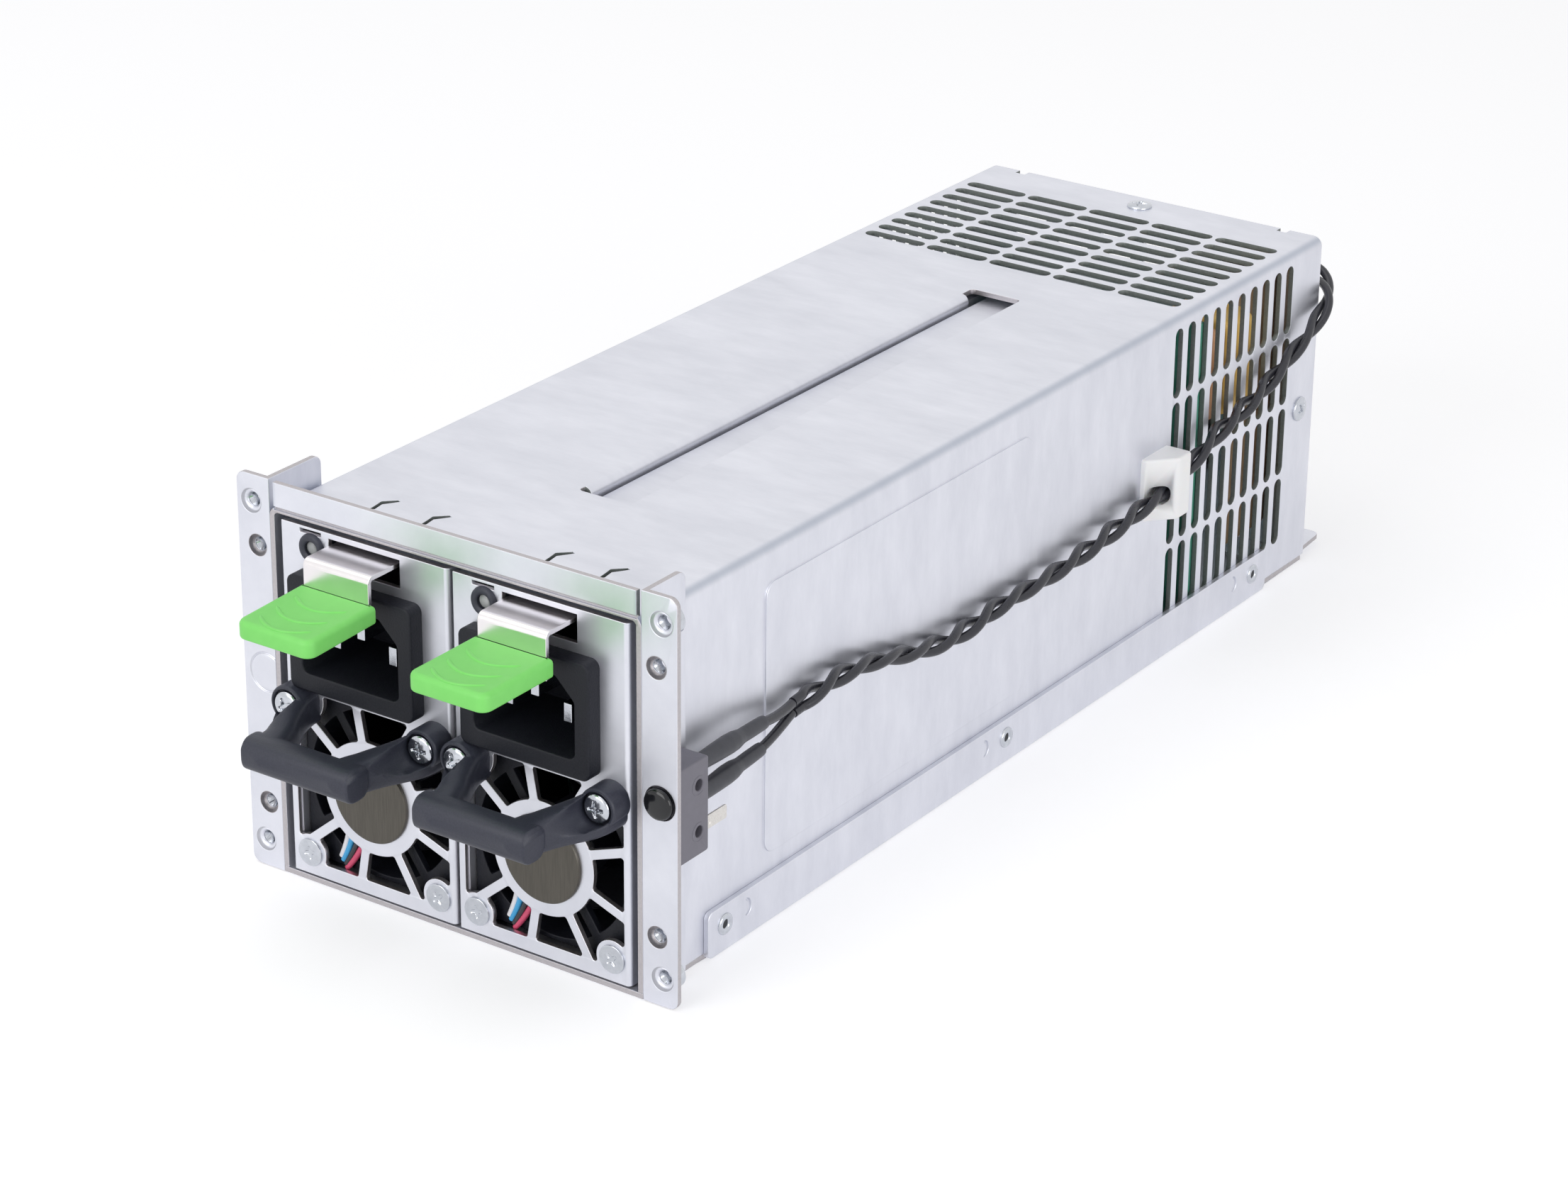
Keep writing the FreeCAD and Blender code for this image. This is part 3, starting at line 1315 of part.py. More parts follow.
def circuit_board(name, x):
    """The module's board, narrowed at the back to the card edge."""
    board = new_body(name + "_pcb")
    plan = drawing(board, "XY", mm.board_height)
    rear = mm.housing_rear - mm.housing_sheet - 1.0
    add_outline(plan, (
        (-mm.board_half, mm.board_front), (mm.board_half, mm.board_front), (mm.board_half, rear),
        (mm.edge_half, rear), (mm.edge_half, mm.board_rear), (-mm.edge_half, mm.board_rear),
        (-mm.edge_half, rear), (-mm.board_half, rear)))
    pad(board, plan, mm.board_thick)
    legs = drawing(board, "XY", mm.housing_low + mm.housing_sheet)
    for middle in (-14.0, 14.0):
        for along in (mm.board_front + 10, rear - 10):
            add_outline(legs, rectangle((middle - 2, middle + 2), (along - 2, along + 2)))
    pad(board, legs, mm.board_height - mm.housing_low - mm.housing_sheet)
    return finish(board, name + "_circuit_board", x)


def power_parts(name, x):
    """The bulk capacitor lying on the board, and the main transformer behind it."""
    top = mm.board_height + mm.board_thick
    can = cylinder(name + "_can", mm.capacitor_radius, (0, 44, top + mm.capacitor_radius),
                   mm.capacitor_length)
    finish(can, name + "_bulk_capacitor", x)
    core = box(name + "_core", (-14, 14), (112, 140), (top, top + 9))
    upper = box(name + "_core_top", (-14, 14), (112, 140), (top + 21, top + 30))
    coil = cylinder(name + "_coil", 12.5, (0, 126, top + 9), 12, "z")
    finish(fuse(name + "_wound", core, coil, upper), name + "_transformer", x)


def fan_frame(name, x):
    """The fan's square frame, with the motor plate held by four struts in front."""
    low = mm.hub_height - mm.fan_half
    high = mm.hub_height + mm.fan_half
    rear = mm.fan_front + mm.fan_deep
    block = new_body(name + "_fan")
    front = drawing(block, "XZ", -mm.fan_front)
    add_outline(front, rectangle((-mm.fan_half, mm.fan_half), (low, high)))
    add_circle(front, 0, mm.hub_height, mm.fan_bore)
    pad(block, front, mm.fan_deep, back=True)
    plate = cylinder(name + "_motor_plate", mm.rotor_hub, (0, mm.fan_front, mm.hub_height), 1.6)
    struts = []
    for angle in (35, 125, 215, 305):
        strut = doc.addObject("Part::Box", "%s_strut_%d" % (name, angle))
        bind(strut, "Length", mm.fan_bore + 0.6)
        strut.Width = 1.6
        bind(strut, "Height", mm.strut_width)
        strut.Placement.Rotation = FreeCAD.Rotation(FreeCAD.Vector(0, 1, 0), -angle)
        side = mm.strut_width / 2
        lift = math.radians(angle)
        place(strut, side * math.sin(lift), mm.fan_front, mm.hub_height - side * math.cos(lift))
        struts.append(strut)
    tools = [cylinder(name + "_shaft_bore", mm.shaft_radius + mm.shaft_clearance,
                      (0, mm.fan_front - 1, mm.hub_height), 5.0)]
    for side in (-1, 1):
        tools.append(cylinder("%s_fan_hole_%d" % (name, side + 1), SCREW_SHANK + 0.1,
                              (mm.fan_screw_x * side, mm.fan_front - 1, mm.fan_screw_low), 9.0))
    whole = fuse(name + "_fan_whole", block, plate, *struts)
    return finish(cut(name + "_fan_drilled", whole, *tools), name + "_fan_frame", x)


def fan_rotor(name, x):
    """The fan's hub on its shaft, with pitched blades."""
    front = number_of(mm.fan_front) + 2.4
    height = number_of(mm.hub_height)
    hub_radius = number_of(mm.rotor_hub)
    tip_radius = number_of(mm.rotor_radius)
    deep = 18.0
    centre = FreeCAD.Vector(0, front, height)
    axis = FreeCAD.Vector(0, 1, 0)
    hub = Part.makeCylinder(hub_radius, deep, centre, axis)
    back = FreeCAD.Vector(0, number_of(mm.fan_front) + 0.3, height)
    shaft = Part.makeCylinder(number_of(mm.shaft_radius), 4.0, back, axis)
    pitch = math.radians(BLADE_PITCH)
    half_y = BLADE_CHORD / 2 * math.sin(pitch)
    half_x = BLADE_CHORD / 2 * math.cos(pitch)
    middle = front + deep / 2
    root = height + hub_radius - 1.0
    ends = ((-half_x, middle - half_y), (half_x, middle + half_y))
    corners = [FreeCAD.Vector(x - BLADE_THICK / 2, y, root) for x, y in ends]
    corners += [FreeCAD.Vector(x + BLADE_THICK / 2, y, root) for x, y in ends[::-1]]
    reach = math.sqrt(tip_radius ** 2 - half_x ** 2) - hub_radius + 1.0
    blade = Part.Face(Part.makePolygon(corners + corners[:1])).extrude(FreeCAD.Vector(0, 0, reach))
    solids = []
    for number in range(BLADES):
        copy = blade.copy()
        copy.rotate(centre, axis, 360.0 / BLADES * number)
        solids.append(copy)
    return shape_node(hub.multiFuse([shaft] + solids).removeSplitter(), name + "_fan_rotor", x)


def fan_leads(name, x):
    """Four thin wires that leave the fan's motor in front and go to the lower corner."""
    leads = []
    gap = mm.fan_front - mm.panel_sheet
    for number in range(4):
        step = 1.35 * number
        start = FreeCAD.Vector(-4.6 - step * 0.7, number_of(mm.panel_sheet + gap / 2), 13.6 - step * 0.7)
        end = start + FreeCAD.Vector(-7.0, 0, -7.6)
        way = end - start
        leads.append(Part.Face(eight_sided(0.6, start, way)).extrude(way))
    return shape_node(Part.Compound(leads), name + "_fan_leads", x)


def latch(name, x):
    """The sprung release latch: a plated strip with a catch, and the tab moulded on its end."""
    strip = new_body(name + "_strip")
    side = drawing(strip, "YZ", -mm.latch_half)
    low = mm.latch_top - mm.latch_sheet
    front = mm.latch_front
    eye_y = mm.latch_pivot
    add_outline(side, (
        (front, mm.latch_flange_low), (front + mm.latch_sheet, mm.latch_flange_low),
        (front + mm.latch_sheet, low, 0.6), (eye_y, low), (eye_y, mm.latch_top),
        (front, mm.latch_top, 1.5)))
    pad(strip, side, mm.latch_half * 2)
    rise = INNER_TOP - mm.seat_clearance
    hook = drawing(strip, "YZ", -mm.catch_half)
    add_outline(hook, (
        (mm.catch_front, mm.latch_top - 0.5), (mm.catch_rear, mm.latch_top - 0.5),
        (mm.catch_rear, mm.latch_top + 1.0), (mm.catch_front + 1.0, rise), (mm.catch_front, rise)))
    pad(strip, hook, mm.catch_half * 2)
    eye = cylinder(name + "_eye", LATCH_EYE, (-mm.latch_half, mm.latch_pivot, LATCH_AXIS),
                   mm.latch_half * 2, "x")
    bore = cylinder(name + "_eye_bore", LATCH_PIN + mm.shaft_clearance,
                    (-mm.latch_half - 1, mm.latch_pivot, LATCH_AXIS), mm.latch_half * 2 + 2, "x")
    plate = cut(name + "_plate_bored", fuse(name + "_plate_eye", strip, eye), bore)
    finish(plate, name + "_latch_plate", x)
    tab = new_body(name + "_tab_body")
    profile = drawing(tab, "YZ", -mm.tab_half)
    back = front + mm.latch_sheet + 0.4
    add_outline(profile, (
        (mm.tab_reach, mm.tab_top - mm.tab_drop - mm.tab_thick, 1.6),
        (back, mm.tab_top - mm.tab_thick, 0.8),
        (back, mm.tab_top, 0.4), (mm.tab_reach, mm.tab_top - mm.tab_drop, 1.6)))
    pad(tab, profile, mm.tab_half * 2)
    corner = drawing(tab, "XY", mm.tab_top + 1)
    reach = 4.0
    for way in (-1, 1):
        edge = mm.tab_half * way
        outside = edge + 0.5 * way
        inside = edge - reach * way
        add_outline(corner, (
            (outside, mm.tab_reach - 0.5), (outside, mm.tab_reach + reach),
            (edge, mm.tab_reach + reach), (inside, mm.tab_reach), (inside, mm.tab_reach - 0.5)))
    pocket(tab, corner, mm.tab_thick * 3)
    flange = box(name + "_tab_slot", (-mm.latch_half, mm.latch_half), (front, front + mm.latch_sheet),
                 (mm.latch_flange_low, mm.latch_top))
    return finish(cut(name + "_tab_slotted", tab, flange), name + "_latch_tab", x)


def module(name, side):
    """Every piece of one module, in the left or right bay."""
    x = mm.module_pitch / 2 * side
    front_panel(name, x)
    panel_screws(name, x)
    handle_screws(name, x)
    hub_disc(name, x)
    handle(name, x)
    power_inlet(name, x)
    inlet_pins(name, x)
    status_light(name, x)
    housing(name, x)
    circuit_board(name, x)
    power_parts(name, x)
    fan_frame(name, x)
    fan_rotor(name, x)
    fan_leads(name, x)
    latch(name, x)


def check_document():
    """Stops if any object failed or any node has no sound shape."""
    doc.recompute()
    for thing in doc.Objects:
        if "Invalid" in thing.State or "Error" in thing.State:
            raise RuntimeError("%s failed" % thing.Name)
    for node in nodes:
        if node.Shape.isNull() or not node.Shape.isValid() or not node.Shape.Solids:
            raise RuntimeError("%s has no sound shape" % node.Label)


def write_nodes():
    os.makedirs("parts", exist_ok=True)
    for node in nodes:
        node.Shape.exportStep("parts/%s.step" % node.Label)
    print("%d nodes written" % len(nodes))


base_tray()
tray_rivets()
top_cover()
cover_screws()
ear(-1)
ear(1)
rear_panel()
output_trim()
cord_grommet()
foot_bracket()
distribution_board()
board_sockets()
board_parts()
alarm_switch()
push_button()
switch_terminals()
wires()
heat_shrinks()
tie_mount()
module("left", -1)
module("right", 1)
check_document()
write_nodes()
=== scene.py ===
import json
import math
from contextlib import contextmanager
import bmesh
import bpy
import numpy as np
from mathutils import Matrix, Vector
from mathutils.geometry import delaunay_2d_cdt

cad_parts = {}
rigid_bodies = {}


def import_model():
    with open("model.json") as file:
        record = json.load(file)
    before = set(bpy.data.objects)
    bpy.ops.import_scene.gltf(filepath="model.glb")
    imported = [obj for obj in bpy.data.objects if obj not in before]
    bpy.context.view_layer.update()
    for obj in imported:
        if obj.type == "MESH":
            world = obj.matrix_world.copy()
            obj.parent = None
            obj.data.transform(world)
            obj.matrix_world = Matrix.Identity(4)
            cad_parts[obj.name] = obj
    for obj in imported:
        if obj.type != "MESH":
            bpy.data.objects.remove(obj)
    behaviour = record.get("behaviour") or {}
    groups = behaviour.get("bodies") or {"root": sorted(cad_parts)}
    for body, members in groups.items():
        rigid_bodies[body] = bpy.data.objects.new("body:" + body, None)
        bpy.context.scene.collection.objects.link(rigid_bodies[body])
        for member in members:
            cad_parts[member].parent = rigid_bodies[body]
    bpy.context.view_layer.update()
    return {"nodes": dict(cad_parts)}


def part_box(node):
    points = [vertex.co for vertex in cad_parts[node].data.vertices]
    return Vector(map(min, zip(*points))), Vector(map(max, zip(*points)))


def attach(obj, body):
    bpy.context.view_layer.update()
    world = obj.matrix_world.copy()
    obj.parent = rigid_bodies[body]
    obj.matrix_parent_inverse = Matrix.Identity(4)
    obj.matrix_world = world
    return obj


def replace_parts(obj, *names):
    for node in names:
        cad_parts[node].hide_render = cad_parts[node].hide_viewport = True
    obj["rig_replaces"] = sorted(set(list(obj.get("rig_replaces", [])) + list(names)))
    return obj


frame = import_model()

# Studio. The supply stands on a pale table in front of a white wall, as products are
# photographed, with one broad lamp overhead and weaker ones at the front and the right.

EAR_CENTRE = 42.7  # height of the frame's origin above the table, in mm
PHOTO_SIZE = (2212, 1660)


def linear(colour, alpha=1.0):
    """An sRGB hex colour as linear values: the standard curve on each of its three channels."""
    steps = [int(colour[i:i + 2], 16) / 255 for i in (1, 3, 5)]
    curve = [s / 12.92 if s <= 0.04045 else ((s + 0.055) / 1.055) ** 2.4 for s in steps]
    return (*curve, alpha)


def in_frame(points):
    """Millimetres above the table to the frame's metres: lowered to the origin and scaled."""
    return (np.asarray(points, float) - (0.0, 0.0, EAR_CENTRE)) / 1000.0


def add(tree, kind, settings=None, links=None, **attributes):
    """Adds one shader node, with its attributes, its sockets' values and the links into it."""
    node = tree.nodes.new(kind)
    for name, value in attributes.items():
        setattr(node, name, value)
    for socket, value in (settings or {}).items():
        node.inputs[socket].default_value = value
    for socket, source in (links or {}).items():
        tree.links.new(source, node.inputs[socket])
    return node


def backdrop(tree, own_strength, seen_strength):
    """A strength that is higher for camera, glossy and transmission rays than for lighting."""
    rays = add(tree, "ShaderNodeLightPath")
    either = add(tree, "ShaderNodeMath", links={
        0: rays.outputs["Is Camera Ray"], 1: rays.outputs["Is Glossy Ray"]}, operation="MAXIMUM")
    seen = add(tree, "ShaderNodeMath", links={
        0: either.outputs[0], 1: rays.outputs["Is Transmission Ray"]}, operation="MAXIMUM")
    return add(tree, "ShaderNodeMapRange", {"To Min": own_strength, "To Max": seen_strength},
               {"Value": seen.outputs[0]}).outputs["Result"]


scene = bpy.context.scene
scene.view_settings.view_transform = "Standard"

world = bpy.data.worlds.new("white_room")
world.use_nodes = True
world.node_tree.nodes.clear()
room = add(world.node_tree, "ShaderNodeBackground", {"Color": linear("#ffffff")},
           {"Strength": backdrop(world.node_tree, 0.5, 1.0)})
add(world.node_tree, "ShaderNodeOutputWorld", links={"Surface": room.outputs[0]})
scene.world = world

table_paint = bpy.data.materials.new("white_table_paint")
table_paint.use_nodes = True
tree = table_paint.node_tree
tree.nodes.clear()
flat_white = add(tree, "ShaderNodeBsdfDiffuse", {"Color": linear("#e6e6e8")})
glow = add(tree, "ShaderNodeEmission", {"Color": linear("#ffffff")},
           {"Strength": backdrop(tree, 0.0, 0.42)})
both = add(tree, "ShaderNodeAddShader", links={0: flat_white.outputs[0], 1: glow.outputs[0]})
add(tree, "ShaderNodeOutputMaterial", links={"Surface": both.outputs[0]})

table = bpy.data.meshes.new("table")
table.from_pydata(
    [(x, y, -EAR_CENTRE / 1000 - 0.0002) for x, y in ((-6, -6), (6, -6), (6, 6), (-6, 6))],
    [], [(0, 1, 2, 3)])
table.materials.append(table_paint)
table_piece = bpy.data.objects.new("table", table)
scene.collection.objects.link(table_piece)

CAMERA_AZIMUTH = math.radians(34.708)
CAMERA_ELEVATION = math.radians(23.931)
CAMERA_ROLL = math.radians(0.543)
CAMERA_DISTANCE = 934.832
AIM = Vector((0.0, 150.0, 40.0))
AIM_SHIFT = (-22.721, -18.359)
PIXELS_PER_MM = 6.475  # at the aim point, in the photograph
FILM_WIDTH = 36.0

back = Vector((math.sin(CAMERA_AZIMUTH) * math.cos(CAMERA_ELEVATION),
               -math.cos(CAMERA_AZIMUTH) * math.cos(CAMERA_ELEVATION),
               math.sin(CAMERA_ELEVATION)))
level = (-back).cross(Vector((0, 0, 1))).normalized()
upright = level.cross(-back)
right = level * math.cos(CAMERA_ROLL) + upright * math.sin(CAMERA_ROLL)
up = upright * math.cos(CAMERA_ROLL) - level * math.sin(CAMERA_ROLL)
eye = AIM + right * AIM_SHIFT[0] + up * AIM_SHIFT[1] + back * CAMERA_DISTANCE
turn = Matrix((right, up, back)).transposed().to_4x4()
turn.translation = Vector(in_frame(eye))
lens = bpy.data.cameras.new("camera")
lens.sensor_width = FILM_WIDTH
lens.lens = PIXELS_PER_MM * CAMERA_DISTANCE / PHOTO_SIZE[0] * FILM_WIDTH
lens.clip_start = 0.05
camera = bpy.data.objects.new("camera", lens)
camera.matrix_world = turn
scene.collection.objects.link(camera)
scene.camera = camera


def lamp(name, place, aim, size, power):
    """A square area lamp at a place in metres, turned so that it shines at another."""
    light = bpy.data.lights.new(name, "AREA")
    light.size = size
    light.energy = power
    holder = bpy.data.objects.new(name, light)
    way = Vector(aim) - Vector(place)
    holder.matrix_world = Matrix.LocRotScale(
        Vector(place), way.to_track_quat("-Z", "Y"), None)
    scene.collection.objects.link(holder)


lamp("overhead_lamp", (-0.35, -0.15, 1.25), (0.0, 0.1, 0.0), 1.1, 3.4)
lamp("front_lamp", (-0.25, -1.3, 0.55), (0.0, 0.0, 0.0), 0.9, 7.0)
lamp("right_lamp", (1.2, -0.25, 0.16), (0.0, 0.1, 0.0), 0.8, 6.0)

# Signal lead. Two thin stranded wires in black PVC leave the alarm switch, twist together a few
# centimetres behind it, run back along the right wall through a nylon mount, and turn round
# the rear corner into the grommet in the rear wall. The points are the same as the solid's.

LEAD_ROUTE = (
    (47.7, 45.0, 44.9), (47.8, 59.0, 46.3), (47.6, 74.0, 44.2), (47.5, 88.5, 40.3),
    (47.6, 104.0, 38.1), (47.5, 121.0, 39.4), (47.6, 138.0, 38.7), (47.7, 156.0, 39.6),
    (47.8, 173.0, 41.2), (47.9, 187.0, 42.5), (47.9, 199.0, 45.3), (47.8, 210.5, 49.2),
    (47.7, 223.0, 51.0), (47.7, 233.0, 53.6), (47.8, 242.0, 57.0), (47.9, 251.4, 60.4),
    (47.3, 261.0, 65.4), (40.4, 268.2, 68.4), (30.6, 268.4, 68.4), (23.5, 261.6, 66.4),
    (23.5, 251.8, 66.4))
UPPER_WIRE = ((49.3, 32.6, 47.0), (48.9, 38.5, 45.8), (47.7, 44.5, 45.9))
LOWER_WIRE = ((49.2, 31.8, 41.6), (48.8, 36.5, 42.0), (47.7, 44.5, 43.9))
WIRE_RADIUS = 0.98
TWIST_PITCH = 23.0


def values(items, name, width=1, kind=float):
    """One property of all the vertices, edges, loops or faces of a mesh as an array."""
    found = np.empty(len(items) * width, kind)
    items.foreach_get(name, found)
    return found if width == 1 else found.reshape(-1, width)


def spline_points(route, count):
    """Evenly spaced points in mm on the NURBS spline whose control points are a route in mm."""
    curve = bpy.data.curves.new("route", "CURVE")
    curve.dimensions = "3D"
    spline = curve.splines.new("NURBS")
    spline.points.add(len(route) - 1)
    spline.points.foreach_set("co", np.hstack([route, np.ones((len(route), 1))]).ravel())
    spline.order_u = 3
    spline.use_endpoint_u = True
    spline.resolution_u = 24
    carrier = bpy.data.objects.new("route", curve)
    line = bpy.data.meshes.new_from_object(carrier)
    points = values(line.vertices, "co", 3)
    bpy.data.objects.remove(carrier)
    bpy.data.curves.remove(curve)
    bpy.data.meshes.remove(line)
    gone = np.concatenate([[0], np.cumsum(np.linalg.norm(np.diff(points, axis=0), axis=1))])
    even = np.linspace(0, gone[-1], count)
    return np.stack([np.interp(even, gone, points[:, i]) for i in range(3)], axis=1), even


def skin(sections, ends="closed"):
    """Quads between neighbouring closed sections of a grid (n, k, 3). Its ends are closed by a
    face each, or left open, or the last section is joined to the first as in a ring."""
    rows, around = sections.shape[:2]
    if ends == "ring":
        sections = np.concatenate([sections, sections[:1]])
        rows += 1
    row, column = np.meshgrid(np.arange(rows - 1), np.arange(around), indexing="ij")
    nearby = (column + 1) % around
    quads = np.stack([row * around + column, row * around + nearby,
                      (row + 1) * around + nearby, (row + 1) * around + column], axis=-1)
    faces = quads.reshape(-1, 4).tolist()
    if ends == "closed":
        faces.append(list(range(around))[::-1])
        faces.append(list(range((rows - 1) * around, rows * around)))
    return sections.reshape(-1, 3), faces


def cross_ways(path, reference=(0.0, 0.0, 1.0)):
    """Two directions square to the path at each point, the first square to the reference too."""
    way = np.gradient(path, axis=0)
    way /= np.linalg.norm(way, axis=1, keepdims=True)
    side = np.cross(way, reference)
    side /= np.linalg.norm(side, axis=1, keepdims=True)
    return side, np.cross(side, way)


def swept(path, half_side, half_rise, power=2.0, around=24, reference=(0.0, 0.0, 1.0)):
    """A superellipse carried along a path: |a / side| ** power + |b / rise| ** power = 1, with
    its half side and half rise given once or at each point of the path."""
    path = np.asarray(path, float)
    side, rise = cross_ways(path, reference)
    angle = np.linspace(0, 2 * np.pi, around, endpoint=False)
    across = np.sign(np.cos(angle)) * np.abs(np.cos(angle)) ** (2 / power)
    along = np.sign(np.sin(angle)) * np.abs(np.sin(angle)) ** (2 / power)
    half_side = np.broadcast_to(np.asarray(half_side, float), len(path))[:, None, None]
    half_rise = np.broadcast_to(np.asarray(half_rise, float), len(path))[:, None, None]
    return skin(path[:, None] + side[:, None] * half_side * across[None, :, None]
                + rise[:, None] * half_rise * along[None, :, None])


def joined(shapes, finishes=None):
    """Several shapes' points and faces as one, with the later faces' numbers moved up, and each
    shape's place in the piece's list of materials where they differ."""
    starts = np.cumsum([0] + [len(points) for points, _ in shapes])
    points = np.vstack([points for points, _ in shapes])
    faces = [[int(start) + corner for corner in face]
             for start, (_, own) in zip(starts, shapes) for face in own]
    if finishes is None:
        return points, faces
    return points, faces, np.repeat(finishes, [len(own) for _, own in shapes])


@contextmanager
def edited(mesh):
    """A mesh opened for editing, and written back at the end."""
    work = bmesh.new()
    work.from_mesh(mesh)
    yield work
    work.to_mesh(mesh)
    work.free()


def piece(name, shape, finish, body, replaced=(), sharp=38.0):
    """A mesh object from points in mm: doubles merged, faces turned outwards, and smooth except
    at edges over the sharp angle."""
    points, faces = shape[:2]
    mesh = bpy.data.meshes.new(name)
    mesh.from_pydata(in_frame(points).tolist(), [], faces)
    for one in finish if isinstance(finish, (list, tuple)) else [finish]:
        mesh.materials.append(one)
    if len(shape) > 2:
        mesh.polygons.foreach_set("material_index", shape[2].astype(np.int32))
    with edited(mesh) as work:
        bmesh.ops.remove_doubles(work, verts=work.verts, dist=1e-7)
        bmesh.ops.recalc_face_normals(work, faces=work.faces)
    mesh.polygons.foreach_set("use_smooth", np.ones(len(mesh.polygons), bool))
    mesh.set_sharp_from_angle(angle=math.radians(sharp))
    made = bpy.data.objects.new(name, mesh)
    scene.collection.objects.link(made)
    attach(made, body)
    if replaced:
        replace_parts(made, *replaced)
    return made


def new_finish(name):
    """A material with an empty Principled shader, the object's coordinates in metres beside it."""
    finish = bpy.data.materials.new(name)
    finish.use_nodes = True
    tree = finish.node_tree
    tree.nodes.clear()
    shader = add(tree, "ShaderNodeBsdfPrincipled")
    add(tree, "ShaderNodeOutputMaterial", links={"Surface": shader.outputs[0]})
    place = add(tree, "ShaderNodeTexCoord").outputs["Object"]
    return finish, tree, shader, place


def wired(tree, shader, colour, rough, bump):
    """Links a colour, a roughness and a bump node into a Principled shader."""
    for socket, source in (("Base Color", colour), ("Roughness", rough),
                           ("Normal", bump.outputs[0])):
        tree.links.new(source, shader.inputs[socket])


def grained(name, dark, light, grain, rough, relief, metallic=0.0, stretch=(1, 1, 1)):
    """A material whose colour, roughness and relief follow one noise: grain and relief in mm,
    stretched along the axes, colour from dark to light, roughness from low to high."""
    finish, tree, shader, place = new_finish(name)
    spread = add(tree, "ShaderNodeMapping", {"Scale": stretch}, {"Vector": place})
    noise = add(tree, "ShaderNodeTexNoise", {"Scale": 1000.0 / grain, "Detail": 3.0},
                {"Vector": spread.outputs[0]}).outputs["Fac"]
    colour = add(tree, "ShaderNodeMix", {"A": linear(dark), "B": linear(light)},
                 {"Factor": noise}, data_type="RGBA").outputs["Result"]
    level = add(tree, "ShaderNodeMapRange", {"To Min": rough[0], "To Max": rough[1]},
                {"Value": noise}).outputs["Result"]
    bump = add(tree, "ShaderNodeBump", {"Distance": relief / 1000.0}, {"Height": noise})
    wired(tree, shader, colour, level, bump)
    shader.inputs["Metallic"].default_value = metallic
    return finish


# Black PVC wire insulation: extruded, smooth, a little waxy, so it has a soft gloss.
wire_pvc = grained("black_pvc_insulation", "#24252c", "#33333b", 2.5, (0.24, 0.32), 0.02)

lead_path, lead_gone = spline_points(LEAD_ROUTE, 620)
lead_side, lead_rise = cross_ways(lead_path)
lead_angle = np.pi / 2 + 2 * np.pi * np.maximum(lead_gone - 3.0, 0) / TWIST_PITCH
strands = []
for half_turn in (0.0, np.pi):
    phase = (lead_angle + half_turn)[:, None]
    apart = WIRE_RADIUS * (1.12 + 0.16 * np.sin(lead_gone / 9.0 + 1.0))[:, None]
    strand = lead_path + apart * (lead_side * np.cos(phase) + lead_rise * np.sin(phase))
    strands.append(swept(strand, WIRE_RADIUS, WIRE_RADIUS, around=14))
twisted_pair = piece("twisted_signal_lead", joined(strands), wire_pvc, "cage",
                     ["twisted_pair"])

short_wires = [swept(spline_points(route, 40)[0], WIRE_RADIUS, WIRE_RADIUS, around=14)
               for route in (UPPER_WIRE, LOWER_WIRE)]
wire_tails = piece("signal_wire_tails", joined(short_wires), wire_pvc, "cage",
                   ["upper_wire", "lower_wire"])

# Heat shrink sleeves. Black polyolefin tube shrunk over each crimped terminal: flat over the
# blade, thicker over the crimp, then tight on the wire, with a plain cut end.

SLEEVE_LINES = (((49.3, 10.8, 46.8), (49.3, 32.9, 47.0)),
                ((49.3, 10.8, 40.0), (49.2, 32.1, 41.6)))
SLEEVE_SHARES = (0.0, 0.12, 0.3, 0.46, 0.56, 0.66, 0.8, 0.97, 1.0, 0.985)
SLEEVE_SIDES = (1.25, 1.35, 1.75, 1.95, 1.85, 1.45, 1.45, 1.4, 1.32, 1.02)
SLEEVE_RISES = (1.9, 1.95, 2.0, 2.0, 1.9, 1.5, 1.5, 1.42, 1.34, 1.02)

shrunk_tube = grained("shrunk_polyolefin_tube", "#34353c", "#44454c", 1.6, (0.36, 0.5), 0.05)
sleeves = []
fine = np.linspace(0, 1, 60)
known = np.linspace(0, 1, len(SLEEVE_SHARES))
share = np.interp(fine, known, SLEEVE_SHARES)
for start, end in SLEEVE_LINES:
    line = np.array(start) + share[:, None] * (np.array(end) - start)
    way = (np.array(end) - start) / np.linalg.norm(np.array(end) - start)
    side = np.cross(way, (0, 0, 1))
    side /= np.linalg.norm(side)
    rise = np.cross(side, way)
    angle = np.linspace(0, 2 * np.pi, 24, endpoint=False)[None, :, None]
    wide = np.interp(fine, known, SLEEVE_SIDES)[:, None, None]
    tall = np.interp(fine, known, SLEEVE_RISES)[:, None, None]
    sleeves.append(skin(line[:, None] + side * wide * np.cos(angle) + rise * tall * np.sin(angle)))
shrunk_sleeves = piece("shrunk_sleeves", joined(sleeves), shrunk_tube, "cage",
                       ["heat_shrinks"], 50.0)

# Folded cage. Galvanised sheet 1.2 mm thick, punched and folded: a top cover with both walls,
# a tray under it, the rear wall and two ears. The zinc is a soft grey mirror with faint cloudy
# streaks along the rolling direction, and the sheared edges show the duller bare steel.

